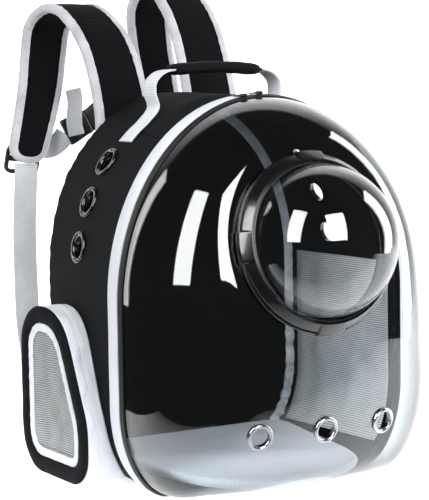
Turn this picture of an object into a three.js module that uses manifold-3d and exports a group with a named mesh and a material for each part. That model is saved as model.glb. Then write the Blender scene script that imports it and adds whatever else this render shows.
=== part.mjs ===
import * as THREE from 'three';
import { mergeVertices } from 'three/addons/utils/BufferGeometryUtils.js';
import Module from 'manifold-3d';

// Bubble pet carrier backpack: a soft-sided bag with a clear front shell and a bubble window.
// Millimetres, +Z up. The clear front faces -Y, the wearer's back is towards +Y, +X is to the
// right as seen from the front. The bag is drawn about its zipper line, y = 0, and its group is
// then moved so that the origin lies under the middle of the resting face.

// Fit between neighbours.
const seatGap = 0.3;

// Bag outline at the zipper line: a half-ellipse arch on straight sides, with elliptic lower corners.
const frontHalfWidth = 173;
const frontArchRise = 214;
const frontArchCentre = 195.5;
const cornerWidth = 54;
const cornerHeight = 94.5;

// Bag outline at the wearer's back.
const backHalfWidth = 159.5;
const backArchRise = 194.5;
const backArchCentre = 221.5;

// Depths and walls.
const bodyDepth = 195;
const originDepth = 42.5;
const gussetWall = 3;
const backPanelThickness = 11;
const backPanelCrown = 5;

// Front edge: webbing band, zipper tape and its two sliders.
const bandWidth = 24;
const bandThickness = 1.5;
const zipperWidth = 9;
const zipperThickness = 2;
const pullLength = 22;
const pullWidth = 7;
const pullThickness = 3;
const pullSpacing = 19;
const pullOffset = -24;

// Clear shell and the round land that carries the bubble.
const shellWall = 1.6;
const shellDepth = 102;
const landRadius = 95;
const windowRadius = 78;
const ringHeight = 260.5;
const ringTilt = 12;

// Silver grommets in the shell.
const grommetRadius = 13.8;
const grommetHole = 9.5;
const grommetRim = 2.4;
const grommetHeight = 74;
const grommetSpacing = 74;
const grommetStand = 2;
const grommetLift = 0.4;

// Bubble: fixed collar, twisting lock ring with its tabs, and the dome.
const collarRadius = 91.4;
const collarThickness = 4.2;
const collarSleeveGap = 1.2;
const collarSleeveWall = 1.6;
const collarSleeveDrop = 1;
const collarEdge = 1;
const lockRingRadius = 90;
const lockRingHeight = 11;
const tabRadius = 93.2;
const tabDrop = 3.4;
const tabSpan = 20;
const tabCount = 4;
const tabBite = 2;
const domeRadius = 78.5;
const domeWall = 1.6;
const domeFlange = 4.5;
const domeCentre = 8;

// Eyelets in the side gussets, by their angle up the arch.
const eyeletRadius = 17.3;
const eyeletHole = 11;
const eyeletRim = 3.2;
const eyeletDepth = 111;
const eyeletFirstAngle = 11.5;
const eyeletStep = 14.3;
const eyeletCount = 3;
const eyeletStand = 1.6;

// Rings clamped through a wall: the neck between their flanges and the flange behind the wall.
const clampNeck = 1.2;
const clampFlange = 1;
const clampFaceShare = 0.4;

// Cross seam between the top gusset and the side gussets, by its angle up the arch.
const seamAngleFront = 52;
const seamAngleBack = 56;

// Floor mat.
const matTop = 23;
const matHalfWidth = 130;
const matFrontHalfWidth = 112;
const matFront = 84;

// Inside: seam binding and side mesh.
const innerBindingWidth = 11.5;
const innerBindingThickness = 1.8;
const sideMeshThickness = 1;
const sideMeshStand = 0.95;
const sideMeshTop = 224;
const sideMeshFirst = 2;
const sideMeshFront = 18;
const sideMeshBack = 172;

// Side pockets.
const pocketFront = 40;
const pocketBack = 188;
const pocketBottom = 6;
const pocketTop = 187;
const pocketReachFront = 21;
const pocketReachBack = 37;
const pocketWall = 2;
const pocketFaceThickness = 2.5;
const pocketFaceBorder = 18;
const pocketTrimWidth = 9;
const pocketTrimThickness = 1.6;
const pocketMeshThickness = 1;
const pocketMeshLap = 4;
const pocketRootInset = 8;

// Handle.
const handleDepth = 97;
const handleLegSpan = 73;
const handleTailSpan = 110;
const handleTop = 437;
const handleWebbingWidth = 28;
const handleSeat = 0.9;
const webbingThickness = 1.8;
const gripHalfLength = 54;
const gripWidth = 32;
const gripThickness = 12.5;
const gripArch = 3;
const gripRoundness = 0.7;
const handleTailClear = 1.04;

// Shoulder straps, on the bag's back.
const strapWidth = 70;
const strapThickness = 10;
const strapRootSpan = 58;
const strapEndSpan = 98;
const strapReach = 184;
const strapRootHeight = 385;
const strapDrop = 55;
const strapRiseLeft = 130;
const strapRiseRight = 155;
const strapBindingWidth = 5;
const strapBindingProud = 0.5;
const strapEndRound = 20;
const strapEndPower = 0.4;
const padFlatShare = 0.92;

// Ladder locks and lower webbing.
const ladderWidth = 46;
const ladderHeight = 36;
const ladderThickness = 4.5;
const ladderStart = -20;
const ladderBow = 3;
const ladderRail = 6;
const lowerWebbingWidth = 30;
const lowerSeat = 2;
const lowerFootSpan = 116;
const lowerFootHeight = 26;
const lowerFootLength = 20;

// Chest strap and its buckle.
const chestWebbingWidth = 25;
const chestSeat = 22;
const chestRise = 34;
const chestBow = 16;
const chestTailLength = 56;
const chestTailWidth = 20;
const chestEndBend = 8;
const buckleLength = 52;
const buckleWidth = 34;
const buckleThickness = 9;
const buckleMaleThickness = 6.5;
const buckleHousing = 0.62;
const buckleWaist = 0.86;
const chestBuckleStart = 0.27;
const chestTurnStart = 0.16;
const chestTurnSpan = 0.14;

// How finely curves are drawn, in steps or segments.
const topSteps = 10;
const sideArcSteps = 5;
const cornerSteps = 5;
const sideSteps = 2;
const floorSteps = 3;
const depthSteps = 3;
const pocketArcSteps = 3;
const eyeletSegments = 12;
const grommetSegments = 12;
const turnSegments = 28;
const shellSteps = 7;
const domeSteps = 5;
const tabSteps = 3;
const gripSteps = 6;
const gripSegments = 12;
const handleSteps = 36;
const strapSteps = 17;
const strapEndSteps = 4;
const ladderSteps = 5;
const lowerSteps = 20;
const chestLeftSteps = 8;
const chestRightSteps = 14;
const chestTailSteps = 9;

const degrees = Math.PI / 180;
const vector = (x, y, z) => new THREE.Vector3(x, y, z);
const mix = (a, b, share) => a + (b - a) * share;

// Reads a table of rows [share, value...] at a share, one value column at a time.
function readTable(rows, share, column) {
  const last = rows.length - 1;
  let index = 0;
  while (index < last - 1 && share > rows[index + 1][0]) index += 1;
  const [low, high] = [rows[index], rows[index + 1]];
  const part = Math.min(Math.max((share - low[0]) / (high[0] - low[0]), 0), 1);
  return mix(low[column], high[column], part);
}

// Turns lists of corner points and triangles into a geometry whose faces point out.
function closedBody(points, triangles) {
  let volume = 0;
  for (const [a, b, c] of triangles) volume += points[a].dot(points[b].clone().cross(points[c]));
  const order = volume < 0 ? triangles.map(([a, b, c]) => [a, c, b]) : triangles;
  const geometry = new THREE.BufferGeometry();
  const place = points.flatMap((point) => [point.x, point.y, point.z]);
  geometry.setAttribute('position', new THREE.Float32BufferAttribute(place, 3));
  geometry.setIndex(order.flat());
  geometry.computeVertexNormals();
  return geometry;
}

// Joins equal loops of points into one closed body. A ring of loops closes on itself; an open row
// of loops is capped at both ends by a strip between facing points.
function loftLoops(loops, isRing) {
  const count = loops[0].length;
  const points = loops.flat();
  const triangles = [];
  const rows = isRing ? loops.length : loops.length - 1;
  for (let row = 0; row < rows; row += 1) {
    const here = row * count;
    const next = ((row + 1) % loops.length) * count;
    for (let k = 0; k < count; k += 1) {
      const along = (k + 1) % count;
      triangles.push([here + k, here + along, next + along], [here + k, next + along, next + k]);
    }
  }
  if (!isRing) {
    for (const [start, flip] of [[0, true], [(loops.length - 1) * count, false]]) {
      for (let k = 0; k < count / 2 - 1; k += 1) {
        const quad = [k, k + 1, count - 2 - k, count - 1 - k].map((step) => start + step);
        if (flip) quad.reverse();
        triangles.push([quad[0], quad[1], quad[2]]);
        if (quad[0] !== quad[3]) triangles.push([quad[0], quad[2], quad[3]]);
      }
    }
  }
  return closedBody(points, triangles);
}

// The solid library, and the way in and out of it.
const wasm = await Module();
wasm.setup();

function toSolid(geometry) {
  const bare = new THREE.BufferGeometry();
  bare.setAttribute('position', geometry.getAttribute('position').clone());
  if (geometry.index) bare.setIndex(geometry.index.clone());
  const merged = mergeVertices(bare, 1e-4);
  const vertProperties = new Float32Array(merged.getAttribute('position').array);
  const triVerts = new Uint32Array(merged.index.array);
  return new wasm.Manifold(new wasm.Mesh({ numProp: 3, vertProperties, triVerts }));
}

function toGeometry(solid) {
  const { vertProperties, triVerts, numProp } = solid.getMesh();
  const place = [];
  for (let k = 0; k < vertProperties.length; k += numProp) {
    place.push(vertProperties[k], vertProperties[k + 1], vertProperties[k + 2]);
  }
  const geometry = new THREE.BufferGeometry();
  geometry.setAttribute('position', new THREE.Float32BufferAttribute(place, 3));
  geometry.setIndex(Array.from(triVerts));
  geometry.computeVertexNormals();
  return geometry;
}

function cutAway(geometry, tools) {
  let solid = toSolid(geometry);
  for (const tool of tools) solid = solid.subtract(toSolid(tool));
  return toGeometry(solid);
}

function joinAll(geometries) {
  return toGeometry(geometries.map(toSolid).reduce((whole, piece) => whole.add(piece)));
}

// Outline of the bag at a depth behind the zipper line, drawn in by an inset.
function outlineSizes(depth) {
  const share = depth / bodyDepth;
  return {
    halfWidth: mix(frontHalfWidth, backHalfWidth, share),
    archRise: mix(frontArchRise, backArchRise, share),
    archCentre: mix(frontArchCentre, backArchCentre, share),
  };
}

// A point on an ellipse arc at an angle, moved inwards along its normal.
function ellipsePoint(centreX, centreZ, halfX, halfZ, angle, inset) {
  const [cosine, sine] = [Math.cos(angle), Math.sin(angle)];
  const normal = new THREE.Vector2(cosine / halfX, sine / halfZ).normalize();
  return [centreX + halfX * cosine - inset * normal.x, centreZ + halfZ * sine - inset * normal.y];
}

function archPoint(depth, angle, inset) {
  const size = outlineSizes(depth);
  const [x, z] = ellipsePoint(0, size.archCentre, size.halfWidth, size.archRise, angle, inset);
  return vector(x, depth, z);
}

function cornerPoint(depth, angle, inset, side) {
  const size = outlineSizes(depth);
  const centre = size.halfWidth - cornerWidth;
  const [x, z] = ellipsePoint(centre, cornerHeight, cornerWidth, cornerHeight, angle, inset);
  return vector(side * x, depth, z);
}

// Half-width of the bag's wall at a height, for what is set on its side.
function wallHalfWidth(depth, height, inset) {
  const size = outlineSizes(depth);
  if (height > size.archCentre) {
    const rise = (height - size.archCentre) / (size.archRise - inset);
    return (size.halfWidth - inset) * Math.sqrt(Math.max(1 - rise ** 2, 0));
  }
  if (height > cornerHeight) return size.halfWidth - inset;
  const drop = (cornerHeight - height) / (cornerHeight - inset);
  return size.halfWidth - cornerWidth + (cornerWidth - inset) * Math.sqrt(Math.max(1 - drop ** 2, 0));
}

// The run from the floor up one side to an angle on the arch, at one depth.
function sideRun(depth, inset, side, topAngle, arcSteps) {
  const run = [];
  for (let k = 0; k <= cornerSteps; k += 1) {
    run.push(cornerPoint(depth, mix(-90, 0, k / cornerSteps) * degrees, inset, side));
  }
  const foot = run[run.length - 1];
  const spring = archPoint(depth, 0, inset);
  for (let k = 1; k <= sideSteps; k += 1) {
    run.push(vector(side * spring.x, depth, mix(foot.z, spring.z, k / sideSteps)));
  }
  for (let k = 1; k <= arcSteps; k += 1) {
    const point = archPoint(depth, mix(0, topAngle, k / arcSteps) * degrees, inset);
    run.push(vector(side * point.x, depth, point.z));
  }
  return run;
}

// The run over the top between two angles that mirror each other.
function topRun(depth, inset, angle) {
  const run = [];
  for (let k = 0; k <= topSteps; k += 1) {
    run.push(archPoint(depth, mix(angle, 180 - angle, k / topSteps) * degrees, inset));
  }
  return run;
}

function seamAngleAt(depth) {
  return mix(seamAngleFront, seamAngleBack, depth / bodyDepth);
}

// The whole outline as one closed loop, from the right lower corner over the arch to the left one.
// Its points fall at the same shares as the gusset panels', so layers lie evenly on each other.
function outlineLoop(depth, inset) {
  const angle = seamAngleAt(depth);
  const right = sideRun(depth, inset, 1, angle, sideArcSteps);
  const top = topRun(depth, inset, angle).slice(1, -1);
  const left = sideRun(depth, inset, -1, angle, sideArcSteps).reverse();
  const [start, end] = [left[left.length - 1], right[0]];
  const floor = [];
  for (let k = 1; k < floorSteps; k += 1) {
    floor.push(vector(mix(start.x, end.x, k / floorSteps), depth, start.z));
  }
  return [...right, ...top, ...left, ...floor];
}

// Insets of the layers at the bag's edge, from the webbing band inwards.
const gussetInset = bandThickness + seatGap;
const innerInset = gussetInset + gussetWall;
const zipperInset = seatGap;
const shellInset = zipperInset + zipperThickness + seatGap;
const gussetStart = seatGap;

function gussetDepths() {
  return Array.from({ length: depthSteps + 1 }, (_, k) => mix(gussetStart, bodyDepth, k / depthSteps));
}

// A wall strip of the gusset: loops across its depth and back inside, one for each outline point.
function gussetStrip(runAt) {
  const depths = gussetDepths();
  const outer = depths.map((depth) => runAt(depth, gussetInset));
  const inner = depths.map((depth) => runAt(depth, innerInset)).reverse();
  return loftLoops(outer[0].map((_, k) => [...outer, ...inner].map((run) => run[k])), false);
}

// A seam keeps the seat gap between two cloth panels, shared by both of them.
const seamHalfGap = seatGap / 2;
const seamGapAngle = (seamHalfGap / frontHalfWidth) / degrees;

// The floor panel steps down behind the band to the bag's resting plane.
function bottomGeometry() {
  const step = bandWidth + seatGap;
  const profile = [
    [gussetStart, gussetInset],
    [step, gussetInset],
    [step, 0],
    [bodyDepth, 0],
    [bodyDepth, innerInset],
    [gussetStart, innerInset],
  ];
  return loftLoops([-1, 1].map((side) => profile.map(([depth, height]) => (
    vector(side * (outlineSizes(depth).halfWidth - cornerWidth - seamHalfGap), depth, height)
  ))), false);
}

function topGussetGeometry() {
  return gussetStrip((depth, inset) => topRun(depth, inset, seamAngleAt(depth) + seamGapAngle));
}

// Rounded pocket outline in depth and height. Columns: depth share, height share, corner radius.
const pocketCorners = [
  [1, 0, 46],
  [1, 1, 48],
  [0.36, 1, 62],
  [0, 0.36, 60],
  [0, 0, 34],
];

function pocketOutline(border) {
  const spots = pocketCorners.map(([depthShare, heightShare, radius]) => {
    const depth = mix(pocketFront, pocketBack, depthShare);
    return { spot: new THREE.Vector2(depth, mix(pocketBottom, pocketTop, heightShare)), radius };
  });
  const outline = [];
  spots.forEach(({ spot, radius }, index) => {
    const before = spots[(index + spots.length - 1) % spots.length].spot;
    const after = spots[(index + 1) % spots.length].spot;
    const inward = before.clone().sub(spot).normalize();
    const outward = after.clone().sub(spot).normalize();
    const half = Math.acos(inward.dot(outward)) / 2;
    const inwards = inward.clone().add(outward).normalize();
    const centre = spot.clone().addScaledVector(inwards, radius / Math.sin(half));
    const start = inward.clone().multiplyScalar(radius / Math.tan(half)).add(spot).sub(centre);
    const turn = Math.PI - 2 * half;
    for (let k = 0; k <= pocketArcSteps; k += 1) {
      const arm = start.clone().rotateAround(new THREE.Vector2(), (turn * k) / pocketArcSteps);
      outline.push(centre.clone().add(arm.setLength(radius - border)));
    }
  });
  return outline;
}

// How far the pocket's face stands out from the bag's middle plane.
function pocketFaceHalfWidth(depth) {
  const share = (depth - pocketFront) / (pocketBack - pocketFront);
  const wall = mix(outlineSizes(pocketFront).halfWidth, outlineSizes(pocketBack).halfWidth, share);
  return wall + mix(pocketReachFront, pocketReachBack, share);
}

// A pocket loop at the face, some way behind its outer surface.
function pocketFaceLoop(border, back, side) {
  return pocketOutline(border).map(({ x, y }) => vector(side * (pocketFaceHalfWidth(x) - back), x, y));
}

// A pocket loop inside the bag's wall, from which the bag's own form is cut away.
function pocketRootLoop(border, side) {
  return pocketOutline(border).map(({ x, y }) => vector(side * wallHalfWidth(x, y, pocketRootInset), x, y));
}

// The bag's solid form, with the seat gap round its gussets.
function bagForm() {
  return loftLoops(gussetDepths().map((depth) => outlineLoop(depth, gussetInset - seatGap)), false);
}

const pocketFaceBack = pocketFaceThickness + seatGap;

function pocketGussetGeometry(side) {
  const wall = loftLoops([
    pocketRootLoop(0, side),
    pocketFaceLoop(0, pocketFaceBack, side),
    pocketFaceLoop(pocketWall, pocketFaceBack, side),
    pocketRootLoop(pocketWall, side),
  ], true);
  return cutAway(wall, [bagForm()]);
}

function pocketFaceGeometry(side) {
  return loftLoops([
    pocketFaceLoop(0, pocketFaceThickness, side),
    pocketFaceLoop(0, 0, side),
    pocketFaceLoop(pocketFaceBorder, 0, side),
    pocketFaceLoop(pocketFaceBorder, pocketFaceThickness, side),
  ], true);
}

const pocketTrimInner = pocketFaceBorder + seatGap + pocketTrimWidth;

function pocketTrimGeometry(side) {
  const outer = pocketFaceBorder + seatGap;
  return loftLoops([
    pocketFaceLoop(outer, pocketTrimThickness, side),
    pocketFaceLoop(outer, 0, side),
    pocketFaceLoop(pocketTrimInner, 0, side),
    pocketFaceLoop(pocketTrimInner, pocketTrimThickness, side),
  ], true);
}

function pocketMeshGeometry(side) {
  const border = pocketTrimInner - pocketMeshLap;
  const back = pocketTrimThickness + seatGap;
  return loftLoops([
    pocketFaceLoop(border, back, side),
    pocketFaceLoop(border, back + pocketMeshThickness, side),
  ], false);
}

// The opening behind the pocket, cut through the side gusset to the inside mesh.
function pocketWindowTool(side) {
  const outline = pocketOutline(pocketFaceBorder + pocketTrimWidth);
  const reach = [backHalfWidth - cornerWidth, frontHalfWidth + pocketReachFront];
  return loftLoops(reach.map((x) => outline.map((spot) => vector(side * x, spot.x, spot.y))), false);
}

// A turned ring about local +Z from a closed profile of [radius, height] points.
function turnedRing(profile, segments) {
  const loop = [...profile, profile[0]].map(([radius, height]) => new THREE.Vector2(radius, height));
  const turned = mergeVertices(bareCopy(new THREE.LatheGeometry(loop, segments)), 1e-4);
  turned.rotateX(Math.PI / 2);
  return facingOut(turned);
}

function bareCopy(geometry) {
  const bare = new THREE.BufferGeometry();
  bare.setAttribute('position', geometry.getAttribute('position').clone());
  bare.setIndex(geometry.index.clone());
  return bare;
}

function facingOut(geometry) {
  const place = geometry.getAttribute('position');
  const points = [];
  for (let k = 0; k < place.count; k += 1) points.push(new THREE.Vector3().fromBufferAttribute(place, k));
  const index = geometry.index.array;
  const triangles = [];
  for (let k = 0; k < index.length; k += 3) {
    const triangle = [index[k], index[k + 1], index[k + 2]];
    if (new Set(triangle).size === 3) triangles.push(triangle);
  }
  return closedBody(points, triangles);
}

// Sets a body made about local +Z at a seat, with that axis along the seat's outward normal.
function seated(geometry, seat) {
  const turn = new THREE.Quaternion().setFromUnitVectors(vector(0, 0, 1), seat.normal);
  return geometry.applyQuaternion(turn).translate(seat.point.x, seat.point.y, seat.point.z);
}

// A two-flanged ring clamped through a wall. Its inner flange clears the wall's curve by a stand.
function clampedRing(outerRadius, holeRadius, rim, wall, stand, segments) {
  const [inside, outside] = [-wall - stand, seatGap];
  const neck = holeRadius + clampNeck;
  return turnedRing([
    [holeRadius, inside - clampFlange],
    [outerRadius, inside - clampFlange],
    [outerRadius, inside],
    [neck, inside],
    [neck, outside],
    [outerRadius, outside],
    [mix(outerRadius, holeRadius, clampFaceShare), outside + rim],
    [holeRadius, outside + rim / 2],
  ], segments);
}

function holeTool(holeRadius, seat, segments) {
  const radius = holeRadius + clampNeck + seatGap;
  const tool = new THREE.CylinderGeometry(radius, radius, 4 * radius, segments);
  return seated(bareCopy(tool).rotateX(Math.PI / 2), seat);
}

function eyeletSeats(side) {
  return Array.from({ length: eyeletCount }, (_, k) => {
    const angle = (eyeletFirstAngle + k * eyeletStep) * degrees;
    const point = archPoint(eyeletDepth, angle, gussetInset);
    const inwards = archPoint(eyeletDepth + eyeletRadius, angle, gussetInset).sub(point);
    const half = eyeletRadius / frontHalfWidth;
    const lower = archPoint(eyeletDepth, angle - half, gussetInset);
    const upwards = archPoint(eyeletDepth, angle + half, gussetInset).sub(lower);
    const normal = inwards.cross(upwards).normalize();
    const mirror = vector(side, 1, 1);
    return { point: point.multiply(mirror), normal: normal.multiply(mirror) };
  });
}

function sideGussetGeometry(side) {
  const strip = gussetStrip((depth, inset) => sideRun(depth, inset, side, seamAngleAt(depth), sideArcSteps));
  const holes = eyeletSeats(side).map((seat) => holeTool(eyeletHole, seat, eyeletSegments));
  return cutAway(strip, [...holes, pocketWindowTool(side)]);
}

function backPanelGeometry() {
  const inset = innerInset + seatGap;
  const rear = bodyDepth + seatGap;
  const [front, step] = [rear - backPanelThickness, backPanelCrown];
  const rim = rear - step / 2;
  return loftLoops([
    outlineLoop(front, inset),
    outlineLoop(rim, inset),
    outlineLoop(rear, inset + 2 * step),
  ], false);
}

// A closed band round the outline between two depths and two insets.
function outlineBand(fromDepth, toDepth, outerInset, innerEdge) {
  return loftLoops([
    outlineLoop(fromDepth, outerInset),
    outlineLoop(toDepth, outerInset),
    outlineLoop(toDepth, innerEdge),
    outlineLoop(fromDepth, innerEdge),
  ], true);
}

const zipperFront = -zipperWidth - seatGap;

function innerBindingGeometry() {
  const back = bodyDepth - backPanelThickness;
  const inset = innerInset + seatGap;
  return outlineBand(back - innerBindingThickness, back, inset, inset + innerBindingWidth);
}

// Frame of the bubble: the middle of the shell's round land, leaning back at the top.
const ringAxis = vector(0, -Math.cos(ringTilt * degrees), Math.sin(ringTilt * degrees));
const ringUp = vector(0, Math.sin(ringTilt * degrees), Math.cos(ringTilt * degrees));
const ringCentre = vector(0, -shellDepth, ringHeight);
const bubbleSeat = { point: ringCentre, normal: ringAxis };

// How full the shell bulges. Columns: angle round the bubble from the right, fullness.
const shellFullness = [
  [-90, 3.4],
  [-75, 3.4],
  [-65, 2.4],
  [-15, 1.8],
  [40, 1.75],
  [90, 1.8],
];

function landPoint(angle, radius) {
  return ringCentre.clone()
    .add(vector(radius * Math.cos(angle), 0, 0))
    .addScaledVector(ringUp, radius * Math.sin(angle));
}

// The shell's outer surface: from its rim under the zipper, bulging forward to the round land.
function shellRows() {
  const start = zipperFront - seatGap;
  const rim = outlineLoop(start, shellInset);
  const rows = [outlineLoop(-2 * seatGap, shellInset), rim];
  for (let step = 1; step <= shellSteps; step += 1) {
    const turn = (1 - step / shellSteps) * (Math.PI / 2);
    rows.push(rim.map((spot) => {
      const angle = Math.atan2(spot.z - ringHeight, spot.x);
      const folded = Math.atan2(spot.z - ringHeight, Math.abs(spot.x)) / degrees;
      const power = 2 / readTable(shellFullness, folded, 1);
      const land = landPoint(angle, landRadius);
      const [across, forward] = [Math.sin(turn) ** power, Math.cos(turn) ** power];
      const [x, z] = [mix(land.x, spot.x, across), mix(land.z, spot.z, across)];
      return vector(x, mix(start, land.y, forward), z);
    }));
  }
  rows.push(rim.map((spot) => landPoint(Math.atan2(spot.z - ringHeight, spot.x), windowRadius)));
  return rows;
}

// Moves a grid of points inwards by a wall thickness, along the normals of the grid.
function innerRows(rows, wall) {
  return rows.map((row, r) => row.map((spot, k) => {
    const round = row[(k + 1) % row.length].clone().sub(row[(k + row.length - 1) % row.length]);
    const above = rows[Math.min(r + 1, rows.length - 1)][k];
    const below = rows[Math.max(r - 1, 0)][k];
    const normal = round.cross(above.clone().sub(below)).normalize();
    const outward = normal.dot(spot.clone().sub(vector(0, 0, ringHeight))) > 0 ? 1 : -1;
    return spot.clone().addScaledVector(normal, -outward * wall);
  }));
}

function shellBlank() {
  const outer = shellRows();
  return loftLoops([...outer, ...innerRows(outer, shellWall).reverse()], true);
}

// Grommet seats: where a line from the front meets the shell, with that facet's normal.
function grommetSeats(blank) {
  const target = new THREE.Mesh(blank, new THREE.MeshBasicMaterial());
  return [-1, 0, 1].map((place) => {
    const from = vector(place * grommetSpacing, -shellDepth * 3, grommetHeight);
    const hit = new THREE.Raycaster(from, vector(0, 1, 0)).intersectObject(target)[0];
    const normal = hit.face.normal.clone();
    return { point: hit.point.clone().addScaledVector(normal, grommetLift), normal };
  });
}

// A block of a constant profile of [radius, height] points, swept round part of a circle.
function arcBlock(profile, fromAngle, toAngle) {
  const loops = [];
  for (let k = 0; k <= tabSteps; k += 1) {
    const angle = mix(fromAngle, toAngle, k / tabSteps) * degrees;
    loops.push(profile.map(([radius, height]) => (
      vector(radius * Math.cos(angle), radius * Math.sin(angle), height)
    )));
  }
  return loftLoops(loops, false);
}

const collarTop = seatGap + collarThickness;
const lockRingFoot = collarTop + seatGap;
const domeFoot = lockRingFoot;
const domeFlangeTop = domeFoot + domeWall;

// The lock ring's chamfered face. Columns: share from its rim to its bore, share of its height.
const lockRingFace = [
  [0, 0.45],
  [0.28, 0.85],
  [0.62, 1],
  [1, 0.9],
];
const tabTopShare = 0.32;

function collarGeometry() {
  const sleeve = windowRadius - collarSleeveGap;
  const bore = sleeve - collarSleeveWall;
  const foot = -shellWall - collarSleeveDrop;
  return seated(turnedRing([
    [bore, foot],
    [bore, collarTop],
    [collarRadius - collarEdge, collarTop],
    [collarRadius, collarTop - collarEdge],
    [collarRadius, seatGap],
    [sleeve, seatGap],
    [sleeve, foot],
  ], turnSegments), bubbleSeat);
}

function lockRingGeometry() {
  const top = lockRingFoot + lockRingHeight;
  const inner = domeRadius + seatGap;
  const ledge = inner + domeFlange;
  const ring = turnedRing([
    [ledge, lockRingFoot],
    [lockRingRadius, lockRingFoot],
    ...lockRingFace.map(([across, up]) => [mix(lockRingRadius, inner, across), mix(lockRingFoot, top, up)]),
    [inner, domeFlangeTop + seatGap],
    [ledge, domeFlangeTop + seatGap],
  ], turnSegments);
  const tabTop = mix(lockRingFoot, top, tabTopShare);
  const tabProfile = (radius, foot) => (
    [[radius, foot], [tabRadius, foot], [tabRadius, tabTop], [radius, tabTop]]
  );
  const lug = tabProfile(lockRingRadius - tabBite, lockRingFoot);
  const skirt = tabProfile(collarRadius + seatGap, lockRingFoot - tabDrop);
  const tabs = Array.from({ length: tabCount }, (_, k) => {
    const middle = (k * 360) / tabCount + 180;
    const [from, to] = [middle - tabSpan / 2, middle + tabSpan / 2];
    return joinAll([arcBlock(lug, from, to), arcBlock(skirt, from, to)]);
  });
  return seated(joinAll([ring, ...tabs]), bubbleSeat);
}

function domeGeometry() {
  const arc = (radius) => {
    const points = [];
    for (let k = 0; k < domeSteps; k += 1) {
      const angle = (k / domeSteps) * (Math.PI / 2);
      points.push([radius * Math.cos(angle), domeCentre + radius * Math.sin(angle)]);
    }
    return [...points, [0, domeCentre + radius]];
  };
  const inner = arc(domeRadius - domeWall).reverse();
  const skirt = [
    [domeRadius - domeWall, domeFoot],
    [domeRadius + domeFlange, domeFoot],
    [domeRadius + domeFlange, domeFlangeTop],
    [domeRadius, domeFlangeTop],
  ];
  const profile = [...inner, ...skirt, ...arc(domeRadius)].map(([radius, height]) => (
    new THREE.Vector2(radius, height)
  ));
  const turned = mergeVertices(bareCopy(new THREE.LatheGeometry(profile, turnSegments)), 1e-4);
  return seated(facingOut(turned.rotateX(Math.PI / 2)), bubbleSeat);
}

// Floor mat. Columns: depth share from the back panel to the front edge, half-width share.
const matPlan = [
  [0, 0.9],
  [0.04, 1],
  [0.35, 0.97],
  [0.7, 0.9],
  [0.84, 0.8],
  [0.93, 0.62],
  [0.98, 0.38],
  [1, 0.16],
];
// The mat's rows from its foot up. Columns: height share, front share, half-width share.
const matRows = [
  [0, 0.72, 0.78],
  [0.5, 0.86, 0.91],
  [0.88, 0.99, 1],
  [1, 0.97, 0.985],
];

function matGeometry() {
  const back = bodyDepth - backPanelThickness - innerBindingThickness - 2 * seatGap;
  const foot = innerInset + seatGap;
  return loftLoops(matRows.map(([heightShare, frontShare, widthShare]) => {
    const height = mix(foot, matTop, heightShare);
    const front = mix(back, -matFront, frontShare);
    const right = matPlan.map(([depthShare, halfShare]) => {
      const half = mix(matHalfWidth, matFrontHalfWidth, depthShare) * halfShare * widthShare;
      return vector(half, mix(back, front, depthShare), height);
    });
    const left = right.map((spot) => vector(-spot.x, spot.y, spot.z)).reverse();
    return [...right, ...left];
  }), false);
}

// Ribbed mesh panel against the inside of a side wall, from the floor's corner up to its top edge.
function sideMeshColumn(depth, inset, side) {
  const run = sideRun(depth, inset, side, seamAngleAt(depth), sideArcSteps);
  const above = run.findIndex((spot) => spot.z > sideMeshTop);
  const share = (sideMeshTop - run[above - 1].z) / (run[above].z - run[above - 1].z);
  return [...run.slice(sideMeshFirst, above), run[above - 1].clone().lerp(run[above], share)];
}

function sideMeshGeometry(side) {
  const outset = innerInset + sideMeshStand;
  const columns = [outset, outset + sideMeshThickness].map((inset) => (
    [sideMeshFront, sideMeshBack].map((depth) => sideMeshColumn(depth, inset, side))
  ));
  const [[outerFront, outerBack], [innerFront, innerBack]] = columns;
  return loftLoops(outerFront.map((spot, k) => [spot, outerBack[k], innerBack[k], innerFront[k]]), false);
}

// The four corners of a flat section: half its width to either side, half its thickness off it.
const flatSection = (half, thickness) => (
  [[-half, -1], [half, -1], [half, 1], [-half, 1]].map(([aside, side]) => [aside, (side * thickness) / 2])
);

// A flat ribbon along a path: its width lies along a hint across it, its thickness off its face.
function ribbon(path, width, thickness, hint) {
  return loftLoops(path.map((spot, k) => {
    const before = path[Math.max(k - 1, 0)];
    const after = path[Math.min(k + 1, path.length - 1)];
    const along = after.clone().sub(before).normalize();
    const across = hint.clone().addScaledVector(along, -hint.dot(along)).normalize();
    const face = across.clone().cross(along);
    return flatSection(width / 2, thickness).map(([aside, off]) => (
      spot.clone().addScaledVector(across, aside).addScaledVector(face, off)
    ));
  }), false);
}

const smoothCurve = (spots) => new THREE.CatmullRomCurve3(spots, false, 'centripetal');
const smoothPath = (spots, steps) => smoothCurve(spots).getSpacedPoints(steps);

// Handle: one webbing from tail to tail, along the gusset and up through the grip.
// Columns: share of the leg span, height share from the gusset's top up to the grip.
const handleLegs = [
  [1.03, 0.12],
  [1.08, 0.45],
  [1.06, 0.72],
  [0.92, 0.93],
];
// Where the webbing's tail is drawn on the gusset, as shares from its end to the leg.
const handleTailShares = [0, 0.33, 0.66];

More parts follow.
